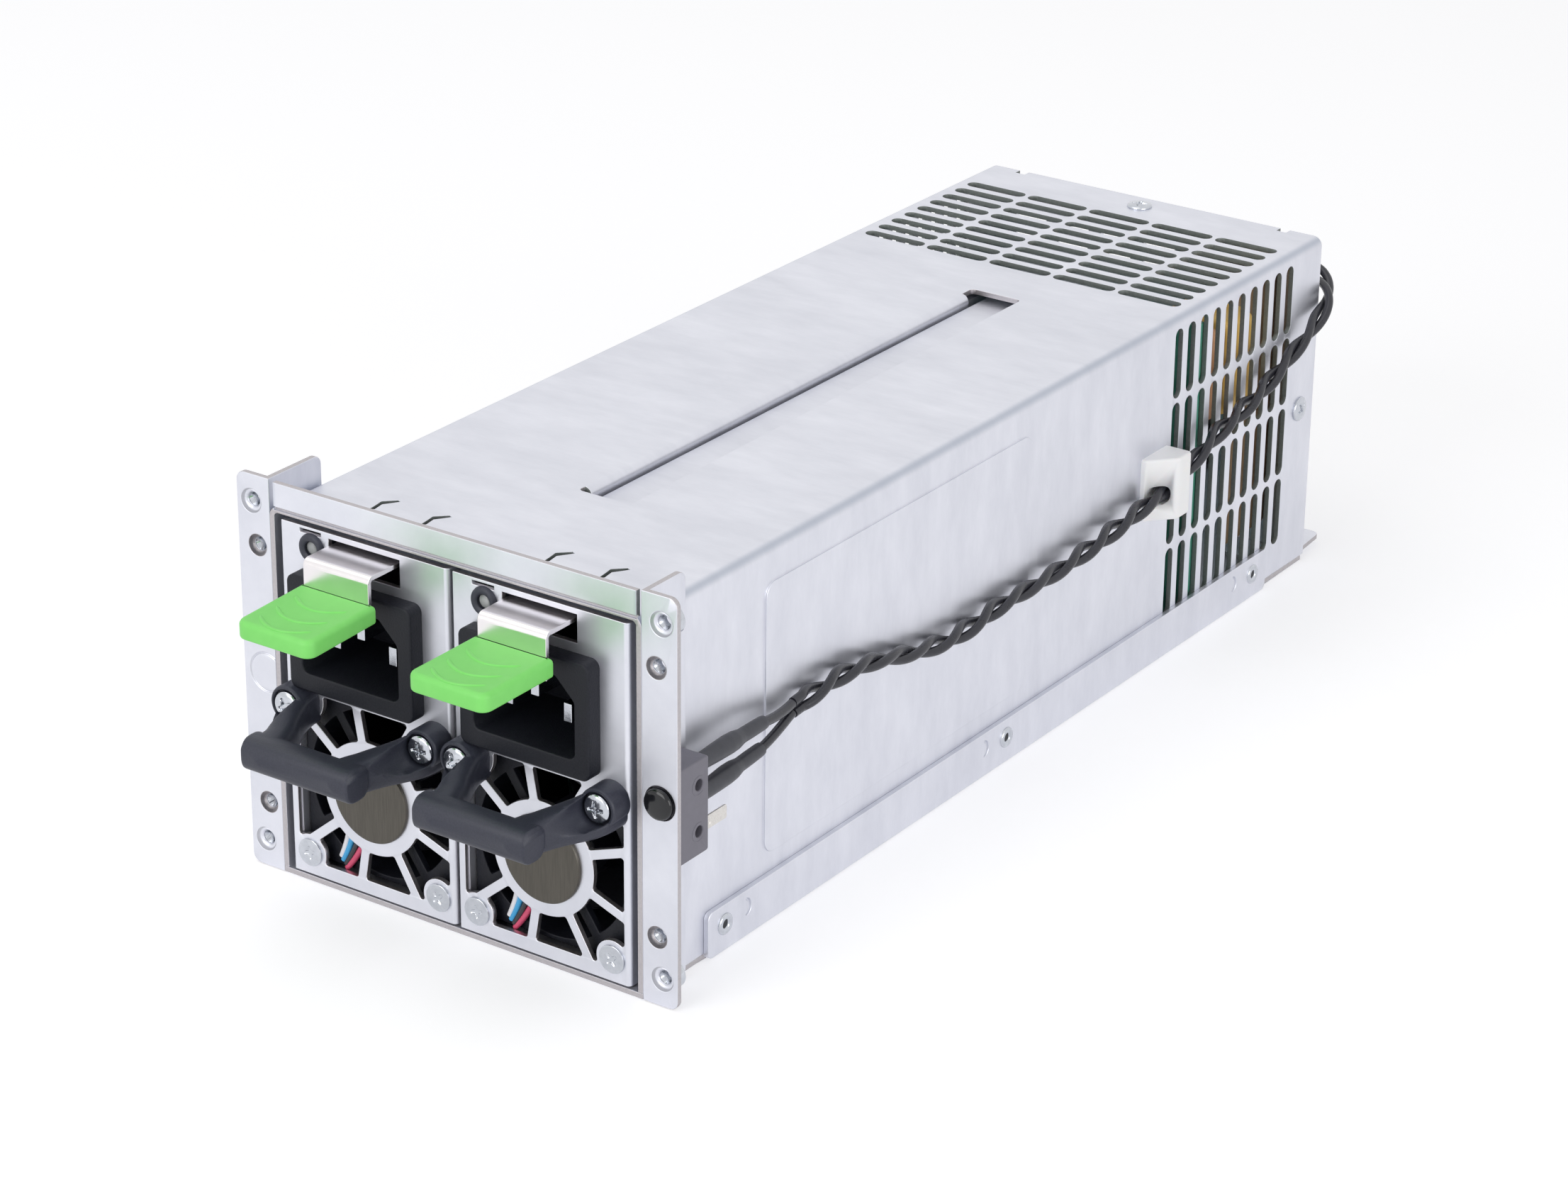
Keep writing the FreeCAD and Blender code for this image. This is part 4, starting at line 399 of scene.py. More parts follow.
galvanised, tree, shader, place = new_finish("galvanised_sheet")
rolled = add(tree, "ShaderNodeMapping", {"Scale": (0.34, 1.0, 0.34)}, {"Vector": place})
cloud = add(tree, "ShaderNodeTexNoise", {"Scale": 1000 / 8.0, "Detail": 5.0, "Roughness": 0.68},
            {"Vector": rolled.outputs[0]})
grain = add(tree, "ShaderNodeTexNoise", {"Scale": 1000 / 0.7, "Detail": 2.0}, {"Vector": place})
zinc = add(tree, "ShaderNodeMix", {"A": linear("#c9cbd5"), "B": linear("#ecedf4")},
           {"Factor": cloud.outputs["Fac"]}, data_type="RGBA")
dull = add(tree, "ShaderNodeMapRange", {"To Min": 0.3, "To Max": 0.5},
           {"Value": cloud.outputs["Fac"]})
tooth = add(tree, "ShaderNodeBump", {"Distance": 0.004 / 1000}, {"Height": grain.outputs["Fac"]})
wired(tree, shader, zinc.outputs["Result"], dull.outputs["Result"], tooth)
shader.inputs["Metallic"].default_value = 0.85

# Bare steel of a sheared edge: torn grain across the sheet, duller than the zinc.
sheared = grained("sheared_steel_edge", "#a9a5a8", "#c6c2c4", 0.5, (0.4, 0.55), 0.02, 1.0)


def finish_nodes(finish, *names):
    """Gives CAD nodes one finish in place of the one they were packed with."""
    for name in names:
        data = frame["nodes"][name].data
        data.materials.clear()
        data.materials.append(finish)


PATCH_ANGLE = math.radians(30)
SMALL_OPENING = 60e-6  # square metres


def cut_edges(mesh, thickness):
    """Each face's finish: 0 for the sheet, 1 for its cut edges, 2 for the walls of its small
    openings. Faces that meet at under 30 degrees are one patch. A patch is a cut edge where twice
    its area over its outline is half the thickness to about all of it, and a small opening's
    where its area is under 60 square mm."""
    count = len(mesh.polygons)
    normals = values(mesh.polygons, "normal", 3)
    areas = values(mesh.polygons, "area")
    corners = values(mesh.polygons, "loop_total", kind=np.int32)
    rims = values(mesh.loops, "edge_index", kind=np.int32)
    ends = values(mesh.edges, "vertices", 2, np.int32)
    spots = values(mesh.vertices, "co", 3)
    long = np.linalg.norm(spots[ends[:, 0]] - spots[ends[:, 1]], axis=1)
    order = np.argsort(rims, kind="stable")
    owner = np.repeat(np.arange(count), corners)[order]
    met = np.flatnonzero(rims[order][1:] == rims[order][:-1])
    one, other, rim = owner[met], owner[met + 1], long[rims[order][met]]
    soft = np.einsum("ij,ij->i", normals[one], normals[other]) > math.cos(PATCH_ANGLE)
    patch = np.arange(count)
    for _ in range(400):
        before = patch.copy()
        lowest = np.minimum(patch[one[soft]], patch[other[soft]])
        np.minimum.at(patch, one[soft], lowest)
        np.minimum.at(patch, other[soft], lowest)
        patch = patch[patch]
        if (patch == before).all():
            break
    area = np.bincount(patch, areas, count)
    outline = np.bincount(patch[one[~soft]], rim[~soft], count)
    outline += np.bincount(patch[other[~soft]], rim[~soft], count)
    wide = 2 * area / np.maximum(outline, 1e-9)
    cut = (wide > thickness * 0.5) & (wide < thickness * 1.12)
    return (cut.astype(np.int32) * (1 + (area < SMALL_OPENING)))[patch]


def applied(made):
    """Puts the result of a piece's modifiers into its mesh."""
    bpy.context.view_layer.update()
    result = bpy.data.meshes.new_from_object(
        made.evaluated_get(bpy.context.evaluated_depsgraph_get()))
    made.modifiers.clear()
    made.data = result


def carved(made, tools, crossed=False):
    """Cuts closed shapes in mm out of a piece with the exact Boolean, and keeps the result."""
    cutter = piece("cutter", joined(tools), made.data.materials[0], "cage")
    cut = made.modifiers.new("cut", "BOOLEAN")
    cut.object = cutter
    cut.solver = "EXACT"
    cut.use_self = crossed
    applied(made)
    bpy.data.objects.remove(cutter)


FEW_CORNERS = 8
SAME_SPOT = 2e-7  # metres: closer points are one
SAME_PLANE = math.radians(0.6)
SHARP = math.radians(38)


def filled(made):
    """Splits the faces with over eight corners into Delaunay triangles on their own planes. The
    usual filling can cover the openings of such a face, depending on the order of its corners."""
    with edited(made.data) as work:
        whole = [face for face in work.faces if len(face.verts) > FEW_CORNERS]
        for face in whole:
            corners = list(face.verts)
            to_plane = face.normal.to_track_quat("Z", "Y").to_matrix().transposed()
            flat = [to_plane @ corner.co * 1000 for corner in corners]
            height = sum(spot.z for spot in flat) / len(flat)
            spots, _, triangles, sources, _, _ = delaunay_2d_cdt(
                [spot.xy for spot in flat], [], [list(range(len(flat)))], 1, 1e-6)
            found = [corners[source[0]] if source else
                     work.verts.new(to_plane.transposed() @ Vector((*spot, height)) / 1000)
                     for spot, source in zip(spots, sources)]
            for triangle in triangles:
                work.faces.new([found[corner] for corner in triangle], face)
        bmesh.ops.delete(work, geom=whole, context="FACES_ONLY")


def rounded_copy(node, name, finishes, body, thickness, rounding, tools=(), steps=2):
    """A copy of a CAD node with its triangles merged into whole faces, holes cut where tools
    are given, its cut edges in the second finish, and every sharp edge rounded in mm. The flat
    faces are marked as the strong ones, so they stay flat where the roundings meet them."""
    made = bpy.data.objects.new(name, frame["nodes"][node].data.copy())
    made.data.name = name
    made.data.materials.clear()
    for finish in finishes:
        made.data.materials.append(finish)
    scene.collection.objects.link(made)
    with edited(made.data) as work:
        bmesh.ops.remove_doubles(work, verts=work.verts, dist=SAME_SPOT)
    made.data.polygons.foreach_set("material_index", np.zeros(len(made.data.polygons), np.int32))
    if tools:
        carved(made, tools)
    with edited(made.data) as work:
        bmesh.ops.remove_doubles(work, verts=work.verts, dist=SAME_SPOT)
        bmesh.ops.dissolve_limit(work, angle_limit=SAME_PLANE, verts=work.verts, edges=work.edges)
    if len(finishes) > 1:
        made.data.polygons.foreach_set(
            "material_index", np.minimum(cut_edges(made.data, thickness / 1000),
                                         len(finishes) - 1).astype(np.int32))
    made.data.polygons.foreach_set("use_smooth", np.ones(len(made.data.polygons), bool))
    made.data.set_sharp_from_angle(angle=math.pi)
    edge = made.modifiers.new("rounding", "BEVEL")
    edge.width = rounding / 1000
    edge.segments = steps
    edge.limit_method = "ANGLE"
    edge.angle_limit = SHARP
    edge.use_clamp_overlap = False
    edge.loop_slide = False
    edge.face_strength_mode = "FSTR_ALL"
    applied(made)
    filled(made)
    low, high = (np.array(corner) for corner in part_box(node))
    spots = np.clip(values(made.data.vertices, "co", 3), low, high)
    made.data.vertices.foreach_set("co", spots.ravel())
    shade = made.modifiers.new("shading", "WEIGHTED_NORMAL")
    shade.mode = "FACE_AREA"
    shade.weight = 50
    shade.keep_sharp = False
    shade.use_face_influence = True
    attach(made, body)
    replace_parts(made, node)
    return made


ORIGIN, FRONT, BACK, RIGHT, UP = (0, 0, 0), (0, -1, 0), (0, 1, 0), (1, 0, 0), (0, 0, 1)


def laid(flat, height, spot, outward):
    """Points of a drawing set on a plane through a spot: across, then upward, then outward by a
    height. Across is upward x outward, and upward is Z, or Y where the plane faces up."""
    outward = np.asarray(outward, float)
    upward = np.array((0.0, 1.0, 0.0) if abs(outward[2]) > 0.5 else (0.0, 0.0, 1.0))
    across = np.cross(upward, outward)
    flat = np.asarray(flat, float)
    height = np.broadcast_to(np.asarray(height, float), flat.shape[:-1])
    return (np.asarray(spot, float) + flat[..., :1] * across + flat[..., 1:] * upward
            + height[..., None] * outward)


def turned(profile, spot, outward, ends="closed", around=40):
    """A profile of (radius, height) pairs turned round the outward line through a spot."""
    profile = np.asarray(profile, float)
    angle = np.linspace(0, 2 * np.pi, around, endpoint=False)
    ring = np.stack([np.cos(angle), np.sin(angle)], axis=-1)
    flat = profile[:, :1, None] * ring
    return skin(laid(flat, profile[:, 1:], spot, outward), ends)


def outline(corners, radii):
    """A closed outline whose corners are arcs of given radii that touch both sides, and its
    outward directions. Counterclockwise, with six points at every corner."""
    corners = np.asarray(corners, float)
    radii = np.broadcast_to(np.asarray(radii, float), len(corners))[:, None]
    before = np.roll(corners, 1, axis=0) - corners
    after = np.roll(corners, -1, axis=0) - corners
    before /= np.linalg.norm(before, axis=1, keepdims=True)
    after /= np.linalg.norm(after, axis=1, keepdims=True)
    enter = np.stack([-before[:, 1], before[:, 0]], axis=-1)
    leave = np.stack([after[:, 1], -after[:, 0]], axis=-1)
    swing = np.arctan2(enter[:, 0] * leave[:, 1] - enter[:, 1] * leave[:, 0],
                       (enter * leave).sum(axis=1))[:, None]
    bisector = enter + leave
    bisector /= np.linalg.norm(bisector, axis=1, keepdims=True)
    middle = corners - np.sign(swing) * radii * bisector / np.cos(swing / 2)
    angle = np.arctan2(enter[:, 1], enter[:, 0])[:, None] + swing * np.linspace(0, 1, 6)
    ways = np.stack([np.cos(angle), np.sin(angle)], axis=-1)
    points = middle[:, None] + np.sign(swing)[..., None] * radii[..., None] * ways
    return points.reshape(-1, 2), ways.reshape(-1, 2)


RING = 0.06


def levels(low, high, radius_low, radius_high):
    """Insets and heights of a moulding whose two ends are quarter rounds, each with a narrow
    flat ring inside it that keeps the end face flat."""
    quarter = np.linspace(0, np.pi / 2, 5)
    start = np.stack([radius_low * (1 - np.sin(quarter)),
                      low + radius_low * (1 - np.cos(quarter))], axis=-1)
    end = np.stack([radius_high * (1 - np.cos(quarter)),
                    high - radius_high * (1 - np.sin(quarter))], axis=-1)
    return np.vstack([[(radius_low + RING, low)], start, end, [(radius_high + RING, high)]])


def moulding(corners, radii, insets, spot, outward):
    """An outline drawn in by each inset at each height: a plate or block with shaped edges."""
    points, ways = outline(corners, radii)
    insets = np.asarray(insets, float)
    flat = points[None] - insets[:, :1, None] * ways[None]
    return skin(laid(flat, insets[:, 1:], spot, outward))


def rectangle(half_wide, half_tall, centre=(0.0, 0.0)):
    """The four corners of a rectangle, counterclockwise."""
    return np.array(((-half_wide, -half_tall), (half_wide, -half_tall), (half_wide, half_tall),
                     (-half_wide, half_tall))) + centre


MOON_SPOTS = (31.7, 118.0, 223.5)
MOON_HEIGHT = 6.3
TRAY_HALF = 46.0
COVER_TOP = 79.7
COVER_HALF = 44.8
EAR_HOLES = ((49.4, 5.9, 2.6), (49.4, 79.5, 2.6), (48.2, 14.5, 2.35), (48.2, 70.4, 2.35))
HOLE_RADIUS = 1.45
KNOCK_OUT = (-47.3, 0.0, 43.3)

moon_cuts = []
for middle in MOON_SPOTS:
    sweep = np.linspace(-1.35, 1.35, 16)
    arc = np.stack([np.full(16, TRAY_HALF), middle + 1.8 * np.cos(sweep),
                    MOON_HEIGHT + 1.8 * np.sin(sweep)], axis=-1)
    thick = 0.42 * np.sqrt(np.clip(1 - (sweep / 1.5) ** 2, 0.05, 1))
    moon_cuts.append(swept(arc, thick, 0.7, around=12, reference=(1.0, 0.0, 0.0)))
rounded_copy("base_tray", "folded_tray", (galvanised, sheared), "cage", 1.2, 0.16,
             moon_cuts)

# The cover's two long folds: along each, a bluish grey band about 2 mm wide is painted shade of
# the bend. Both of its limits are read from the object's coordinates.
fold_shaded_zinc = galvanised.copy()
fold_shaded_zinc.name = "galvanised_sheet_fold_shade"
tree = fold_shaded_zinc.node_tree
shader = tree.nodes["Principled BSDF"]
parts = add(tree, "ShaderNodeSeparateXYZ",
            links={0: add(tree, "ShaderNodeTexCoord").outputs["Object"]})
sideways = add(tree, "ShaderNodeMath", links={0: parts.outputs["X"]}, operation="ABSOLUTE")
near_wall = add(tree, "ShaderNodeMapRange", {"From Min": 0.0428, "From Max": 0.0447},
                {"Value": sideways.outputs[0]}, interpolation_type="SMOOTHSTEP")
near_top = add(tree, "ShaderNodeMapRange", {"From Min": 0.0351, "From Max": 0.0369},
               {"Value": parts.outputs["Z"]}, interpolation_type="SMOOTHSTEP")
fold_shade_mask = add(tree, "ShaderNodeMath", links={
    0: near_wall.outputs["Result"], 1: near_top.outputs["Result"]}, operation="MULTIPLY")
plain = shader.inputs["Base Color"].links[0].from_socket
# painted shade: inside the fold band the zinc's colour is mixed towards bluish grey
fold_shaded_colour = add(tree, "ShaderNodeMix", {"B": linear("#a3abba")},
             {"Factor": fold_shade_mask.outputs[0], "A": plain}, data_type="RGBA")
tree.links.new(fold_shaded_colour.outputs["Result"], shader.inputs["Base Color"])

# Walls of the small slots: the punch leaves them rough, and their darker grey is painted shade
# from the dark inside they face. Each slot is cut to its full width over the narrower one of the
# solid.
shaded_slot_wall = grained("slot_wall_painted_shade", "#787e7c", "#939896", 0.5, (0.5, 0.65), 0.02, 0.6)
SLOT_RADIUS = 1.6
TOP_SLOT_HALF = 6.15 + SLOT_RADIUS
SIDE_SLOT_HALF = 6.45 + SLOT_RADIUS
TOP_SLOTS = np.array([(16.72 * column, 201.7 + 5.375 * row) for column in range(-2, 3)
                      for row in range(9)])
SIDE_SLOTS = np.array([(195.7 + 5.51 * column, 16.85 + 17.3 * row) for column in range(10)
                       for row in range(4)])
slots = [moulding(rectangle(TOP_SLOT_HALF, SLOT_RADIUS, spot), SLOT_RADIUS - 0.02,
                  ((0, -4.0), (0, 1.0)), (0, 0, COVER_TOP), UP) for spot in TOP_SLOTS]
slots += [moulding(rectangle(SLOT_RADIUS, SIDE_SLOT_HALF, spot), SLOT_RADIUS - 0.02,
                   ((0, -92.0), (0, 2.0)), (45, 0, 0), RIGHT) for spot in SIDE_SLOTS]
rounded_copy("top_cover", "folded_cover", (fold_shaded_zinc, sheared, shaded_slot_wall), "cage",
             1.2, 0.12, slots)
rounded_copy("rear_panel", "rear_wall", (galvanised, sheared), "cage", 1.2, 0.16)
rounded_copy("foot_bracket", "rear_foot", (galvanised, sheared), "cage", 1.2, 0.16)

for side, way in (("left", -1), ("right", 1)):
    sinks = []
    for across, height, mouth in EAR_HOLES:
        sinks.append(turned(((mouth + 0.2, 0.2), (mouth - 0.05, -0.05), (HOLE_RADIUS, -0.95),
                             (HOLE_RADIUS, -1.5)), (across * way, 0, height), FRONT))
    if side == "left":
        sinks.append(turned(((4.3, 0.2), (4.3, -0.3), (3.95, -0.3), (3.95, 0.2)), KNOCK_OUT,
                            FRONT, "ring", 48))
    rounded_copy(side + "_ear", side + "_rack_ear", (galvanised, sheared), "cage", 1.2,
                 0.16, sinks)

# Clinch nuts pressed into the ears from behind: bright zinc, with a thread in the bore. The
# thread is rings 0.4 mm apart in place of a helix.

bright_zinc = grained("bright_zinc_plating", "#b6bac2", "#d3d6dc", 1.2, (0.12, 0.2), 0.012, 1.0)
nuts = []
for way in (-1, 1):
    for across, height, mouth in EAR_HOLES:
        outer = 3.0 if across > 49 else 2.05
        ridge = np.arange(13)
        thread = np.stack([1.42 - 0.16 * (ridge % 2), -1.2 - ridge * 0.2], axis=-1)
        rim = np.vstack([thread, ((outer - 0.2, -3.6), (outer, -3.4), (outer, -1.2))])
        nuts.append(turned(rim, (across * way, 0, height), FRONT, "ring"))
piece("clinch_nuts", joined(nuts), bright_zinc, "cage")

# Eyelet rivets along the tray's edge, and pan head screws that hold the cover. Zinc plated
# steel, the screws with a cross recess that the driver has worn bright.

# The dark disc in each rivet's bore is painted shade in the hollow.
shaded_bore = grained("rivet_bore_painted_shade", "#2c2e31", "#3a3c40", 0.6, (0.5, 0.6), 0.01, 0.5)
rivets = []
for middle in (25.0, 127.0, 233.0):
    for way in (-1, 1):
        for profile in (((0.8, -0.3), (0.85, 0.1), (1.05, 0.3), (1.35, 0.42), (1.75, 0.45),
                         (2.05, 0.38), (2.25, 0.18), (2.3, -0.05), (1.2, -0.3)),
                        ((0.02, 0.06), (0.9, 0.06), (0.9, -0.2), (0.02, -0.2))):
            rivets.append(turned(profile, (TRAY_HALF * way, middle, 5.8), (way, 0, 0)))
piece("eyelet_rivets", joined(rivets, (0, 1) * 6), (bright_zinc, shaded_bore), "cage",
      ["tray_rivets"])


def screw(spot, outward, radius, height, crown, shank, length, turn=0.0, reach=0.62, deep=0.8):
    """A cross recessed screw. The head's top is a shallow crown, lowered inside the cross: each
    arm is as wide as a straight taper, its walls slope, and it is deepest in the middle."""
    angle = np.linspace(0, 2 * np.pi, 72, endpoint=False)
    ring = np.stack([np.cos(angle), np.sin(angle)], axis=-1)
    edge = min(0.3, height * 0.5)
    sides = [(shank * 0.7, -length), (shank, 0.4 - length), (shank, 0.0), (radius - 0.05, 0.0),
             (radius, 0.08), (radius, height - edge), (radius - edge * 0.3, height - edge * 0.3)]
    rows = np.linspace(radius - edge, 0.0, 22)[:-1]
    radii = np.concatenate([[r for r, _ in sides], rows])
    flat = radii[:, None, None] * ring
    heights = np.concatenate([[h for _, h in sides], np.zeros(len(rows))])[:, None] * np.ones(72)
    bent = flat[len(sides):] @ np.array([[math.cos(turn), -math.sin(turn)],
                                         [math.sin(turn), math.cos(turn)]])
    far = np.abs(bent).max(axis=-1) / (reach * radius)
    off = np.abs(bent).min(axis=-1) / radius
    wide = 0.2 - 0.09 * far
    inside = np.clip((wide - off) / 0.05, 0, 1) * np.clip((1 - far) / 0.12, 0, 1)
    dome = crown * (1 - (rows / radius) ** 2)[:, None]
    heights[len(sides):] = height + dome - inside * (0.35 + 0.65 * (1 - far)) * deep
    return skin(laid(flat, heights, spot, outward))


cover_screws = [screw(spot, outward, 2.9, 0.5, 0.4, 1.3, 4.0, turn) for spot, outward, turn in (
    ((0, 254, COVER_TOP), UP, 0.3), ((-COVER_HALF, 253.4, 39.85), (-1, 0, 0), 0.5),
    ((COVER_HALF, 253.4, 39.85), RIGHT, 0.5))]
piece("cover_fixing_screws", joined(cover_screws), bright_zinc, "cage", ["cover_screws"])

# Alarm switch. A snap action switch in dark grey thermoset, screwed to the ear's flange, with
# tin plated blades at the back and a domed black push button that reaches through the ear.

thermoset = grained("grey_moulded_thermoset", "#6c6a74", "#787680", 1.8, (0.42, 0.55), 0.02)
rounded_copy("alarm_switch", "snap_action_switch", (thermoset,), "cage", 0, 0.3)
marks = []
for height in (35.0, 44.7):
    sweep = np.linspace(0.6, 5.2, 20)
    arc = np.stack([np.full(20, 52.45), 7.3 - 1.9 * np.cos(sweep - 2.9),
                    height + 1.9 * np.sin(sweep - 2.9)], axis=-1)
    marks.append(swept(arc, 0.13, 0.13, around=8, reference=(1.0, 0.0, 0.0)))
piece("switch_mould_lines", joined(marks), thermoset, "cage")

tinned = grained("tin_plated_brass", "#c9c6c2", "#dedbd6", 0.8, (0.22, 0.34), 0.01, 1.0)
rounded_copy("switch_terminals", "tinned_blades", (tinned,), "cage", 0, 0.12)
piece("open_blade", moulding(
    rectangle(4.9, 1.45, (15.7, 33.2)), 0.5, levels(49.1, 49.5, 0.08, 0.08), ORIGIN, RIGHT),
    tinned, "cage")

polished_black = grained("polished_black_abs", "#0d0e11", "#15161a", 3.0, (0.1, 0.15), 0.004)
piece("domed_button", turned(
    ((1.0, -4.2), (1.2, -4.0), (1.2, -0.1), (3.1, -0.1), (3.2, 0.05), (3.2, 0.55), (3.12, 0.85),
     (2.85, 1.08), (2.3, 1.24), (1.5, 1.35), (0.7, 1.39), (0.02, 1.4)),
    (48.9, 0.0, 42.9), FRONT), polished_black, "alarm_button",
    ["push_button"])

# Nylon mount on the right wall: white, soft edged and stuck on. Its front is a ramp, and the lead
# goes through a mouth in it and out of the back.

white_nylon = grained("white_moulded_nylon", "#fafafb", "#ffffff", 3.0, (0.38, 0.5), 0.02)
sockets = white_nylon.node_tree.nodes["Principled BSDF"].inputs
sockets["Subsurface Weight"].default_value = 0.08
sockets["Subsurface Scale"].default_value = 0.001
MOUNT_PLAN = ((44.0, 192.6), (44.0, 181.4), (45.9, 181.4), (51.2, 187.2), (51.2, 192.6))
mount = piece("nylon_lead_mount", moulding(
    MOUNT_PLAN, (0.7, 0.7, 0.7, 1.5, 1.0), levels(36.4, 50.8, 0.6, 0.6), ORIGIN, UP),
    white_nylon, "cage", ["tie_mount"])
mouth = np.array(((47.9, 180.0, 42.1), (47.9, 184.5, 42.4), (47.9, 188.6, 42.9)))
carved(mount, [swept(mouth, 2.05, 2.3, 2.6)])

# Output side: the black trim round the rear opening, the ring grommet, the distribution board
# with its sockets, and the filter parts that show through the vents.

nylon = grained("glass_filled_black_nylon", "#2b2d38", "#3c3e4b", 0.35, (0.38, 0.5), 0.03)
inlet_nylon = grained("textured_black_nylon", "#0f1016", "#20222b", 0.4, (0.42, 0.58), 0.06)
for moulded, gloss in ((nylon, 0.4), (inlet_nylon, 0.28)):
    moulded.node_tree.nodes["Principled BSDF"].inputs["Specular IOR Level"].default_value = gloss
rubber = grained("black_grommet_rubber", "#26262a", "#303034", 0.8, (0.5, 0.65), 0.02)
solder_mask = grained("green_solder_mask", "#4f9a83", "#62ad96", 6.0, (0.28, 0.4), 0.03)
resin_board = grained("brown_phenolic_board", "#a08468", "#b59a7c", 2.0, (0.45, 0.6), 0.03)
yellow_tape = grained("yellow_polyester_tape", "#ffcb64", "#ffdd8c", 5.0, (0.25, 0.4), 0.05)
ferrite = grained("grey_sintered_ferrite", "#35353a", "#45454b", 0.6, (0.5, 0.65), 0.03)
can_sleeve = grained("black_capacitor_sleeve", "#26262c", "#32323a", 1.5, (0.25, 0.35), 0.01)
rounded_copy("output_trim", "output_opening_trim", (nylon,), "cage", 0, 0.35)
rounded_copy("cord_grommet", "ring_grommet", (rubber,), "cage", 0, 0.3)
finish_nodes(solder_mask, "distribution_board")
finish_nodes(nylon, "board_sockets")
finish_nodes(can_sleeve, "board_capacitors")
finish_nodes(ferrite, "output_choke", "taped_core")
brown_tape = grained("brown_polyester_tape", "#d29a72", "#e6b48c", 4.0, (0.3, 0.45), 0.04)
rounded_copy("taped_winding", "tape_wrapped_winding", (brown_tape,), "cage", 0, 1.6,
             steps=4)

# Behind the first winding stands a second one, in yellow tape on its own ferrite core, then a
# brown phenolic sheet along the wall that keeps the terminals off it. A narrow green riser board
# stands on the distribution board's rear face.

piece("yellow_taped_winding", moulding(
    rectangle(9.0, 11.6, (-32.5, 57.3)), 3.2, levels(224.7, 236.0, 1.2, 1.2), ORIGIN,
    BACK), yellow_tape, "cage")
piece("second_ferrite_core", joined([
    moulding(rectangle(5.4, 8.4, (-32.5, 57.3)), 0.4, levels(236.05, 238.6, 0.1, 0.4), ORIGIN,
             BACK),
    moulding(rectangle(4.2, 2.4, (-32.5, 57.3)), 0.4, levels(224.55, 236.4, 0.1, 0.1), ORIGIN,
             BACK)]), ferrite, "cage")
piece("phenolic_sheet", moulding(
    rectangle(9.7, 32.0, (247.8, 40.0)), 1.0, levels(34.0, 35.0, 0.1, 0.1), ORIGIN, RIGHT),
    resin_board, "cage")
piece("riser_board", moulding(
    rectangle(1.7, 33.0, (-41.6, 41.0)), 0.3, levels(207.62, 209.4, 0.05, 0.1), ORIGIN,
    BACK), solder_mask, "cage")

# Two power modules, side by side. Each is a folded case with a punched front: a grille in
# front of its fan, a mains inlet, a pull handle, a status light and a sprung latch.

# Cut edges of the grille windows: bare steel, painted lighter than the other sheared edges as a
# painted highlight along the rims.
highlit_grille_edge = grained("grille_edge_painted_highlight", "#d5d0d2", "#e6e2e4", 0.5, (0.3, 0.45), 0.01, 1.0)
mirror_plate = grained("bright_nickel_plate", "#e6e2e4", "#efebeb", 3.0, (0.2, 0.28), 0.004, 1.0,
                       (1, 0.15, 1))
green_abs = grained("green_moulded_abs", "#7cdb68", "#88e474", 2.5, (0.42, 0.52), 0.01)
clear_epoxy, tree, shader, place = new_finish("clear_led_epoxy")
haze = add(tree, "ShaderNodeTexNoise", {"Scale": 1000 / 1.5}, {"Vector": place})
milky = add(tree, "ShaderNodeMix", {"A": linear("#e9ecef"), "B": linear("#f8fafb")},
            {"Factor": haze.outputs["Fac"]}, data_type="RGBA")
tree.links.new(milky.outputs["Result"], shader.inputs["Base Color"])
shader.inputs["Roughness"].default_value = 0.08
shader.inputs["Transmission Weight"].default_value = 0.7
shader.inputs["IOR"].default_value = 1.54
lead_colours = [grained(name, dark, light, 1.5, (0.3, 0.42), 0.01) for name, dark, light in (
    ("white_lead_pvc", "#e9e9ee", "#f6f6f9"), ("blue_lead_pvc", "#3aa3dc", "#4db4ea"),
    ("black_lead_pvc", "#2b2b30", "#38383e"), ("red_lead_pvc", "#d94a70", "#e75c80"))]

# Dark bronze coat on the hub disc, brushed in one direction: fine lines along one axis.
bronze, tree, shader, place = new_finish("brushed_dark_bronze")
brushed = add(tree, "ShaderNodeMapping", {"Scale": (1.0, 1.0, 0.06)}, {"Vector": place})
lines = add(tree, "ShaderNodeTexNoise", {"Scale": 1000 / 0.3, "Detail": 4.0},
            {"Vector": brushed.outputs[0]})
tone = add(tree, "ShaderNodeMix", {"A": linear("#4c4944"), "B": linear("#65615a")},
           {"Factor": lines.outputs["Fac"]}, data_type="RGBA")
sheen = add(tree, "ShaderNodeMapRange", {"To Min": 0.3, "To Max": 0.45},
            {"Value": lines.outputs["Fac"]})
fine_lines = add(tree, "ShaderNodeBump", {"Distance": 0.01 / 1000},
                 {"Height": lines.outputs["Fac"]})
wired(tree, shader, tone.outputs["Result"], sheen.outputs["Result"], fine_lines)
shader.inputs["Metallic"].default_value = 0.75

INLET_SHIFT = np.array((-1.4, -1.2))
SOCKET_CORNERS = INLET_SHIFT + ((-12, 49.4), (12, 49.4), (12, 61.3), (7.5, 65.8),
                                (-7.5, 65.8), (-12, 61.3))
BEVEL_SHARE = 2 - math.sqrt(2)
FAN_HEIGHT = 23.0
BOSS_ACROSS, BOSS_HEIGHT = 16.8, 40.6


def six_cornered(half, low, high, radius):
    """A rectangle whose top corners are each two corners of 45 degrees, so that it has the
    socket's six corners. Two such arcs of one radius meet in one quarter round."""
    cut = radius * BEVEL_SHARE
    return np.array(((-half, low), (half, low), (half, high - cut), (half - cut, high),
                     (cut - half, high), (-half, high - cut)))


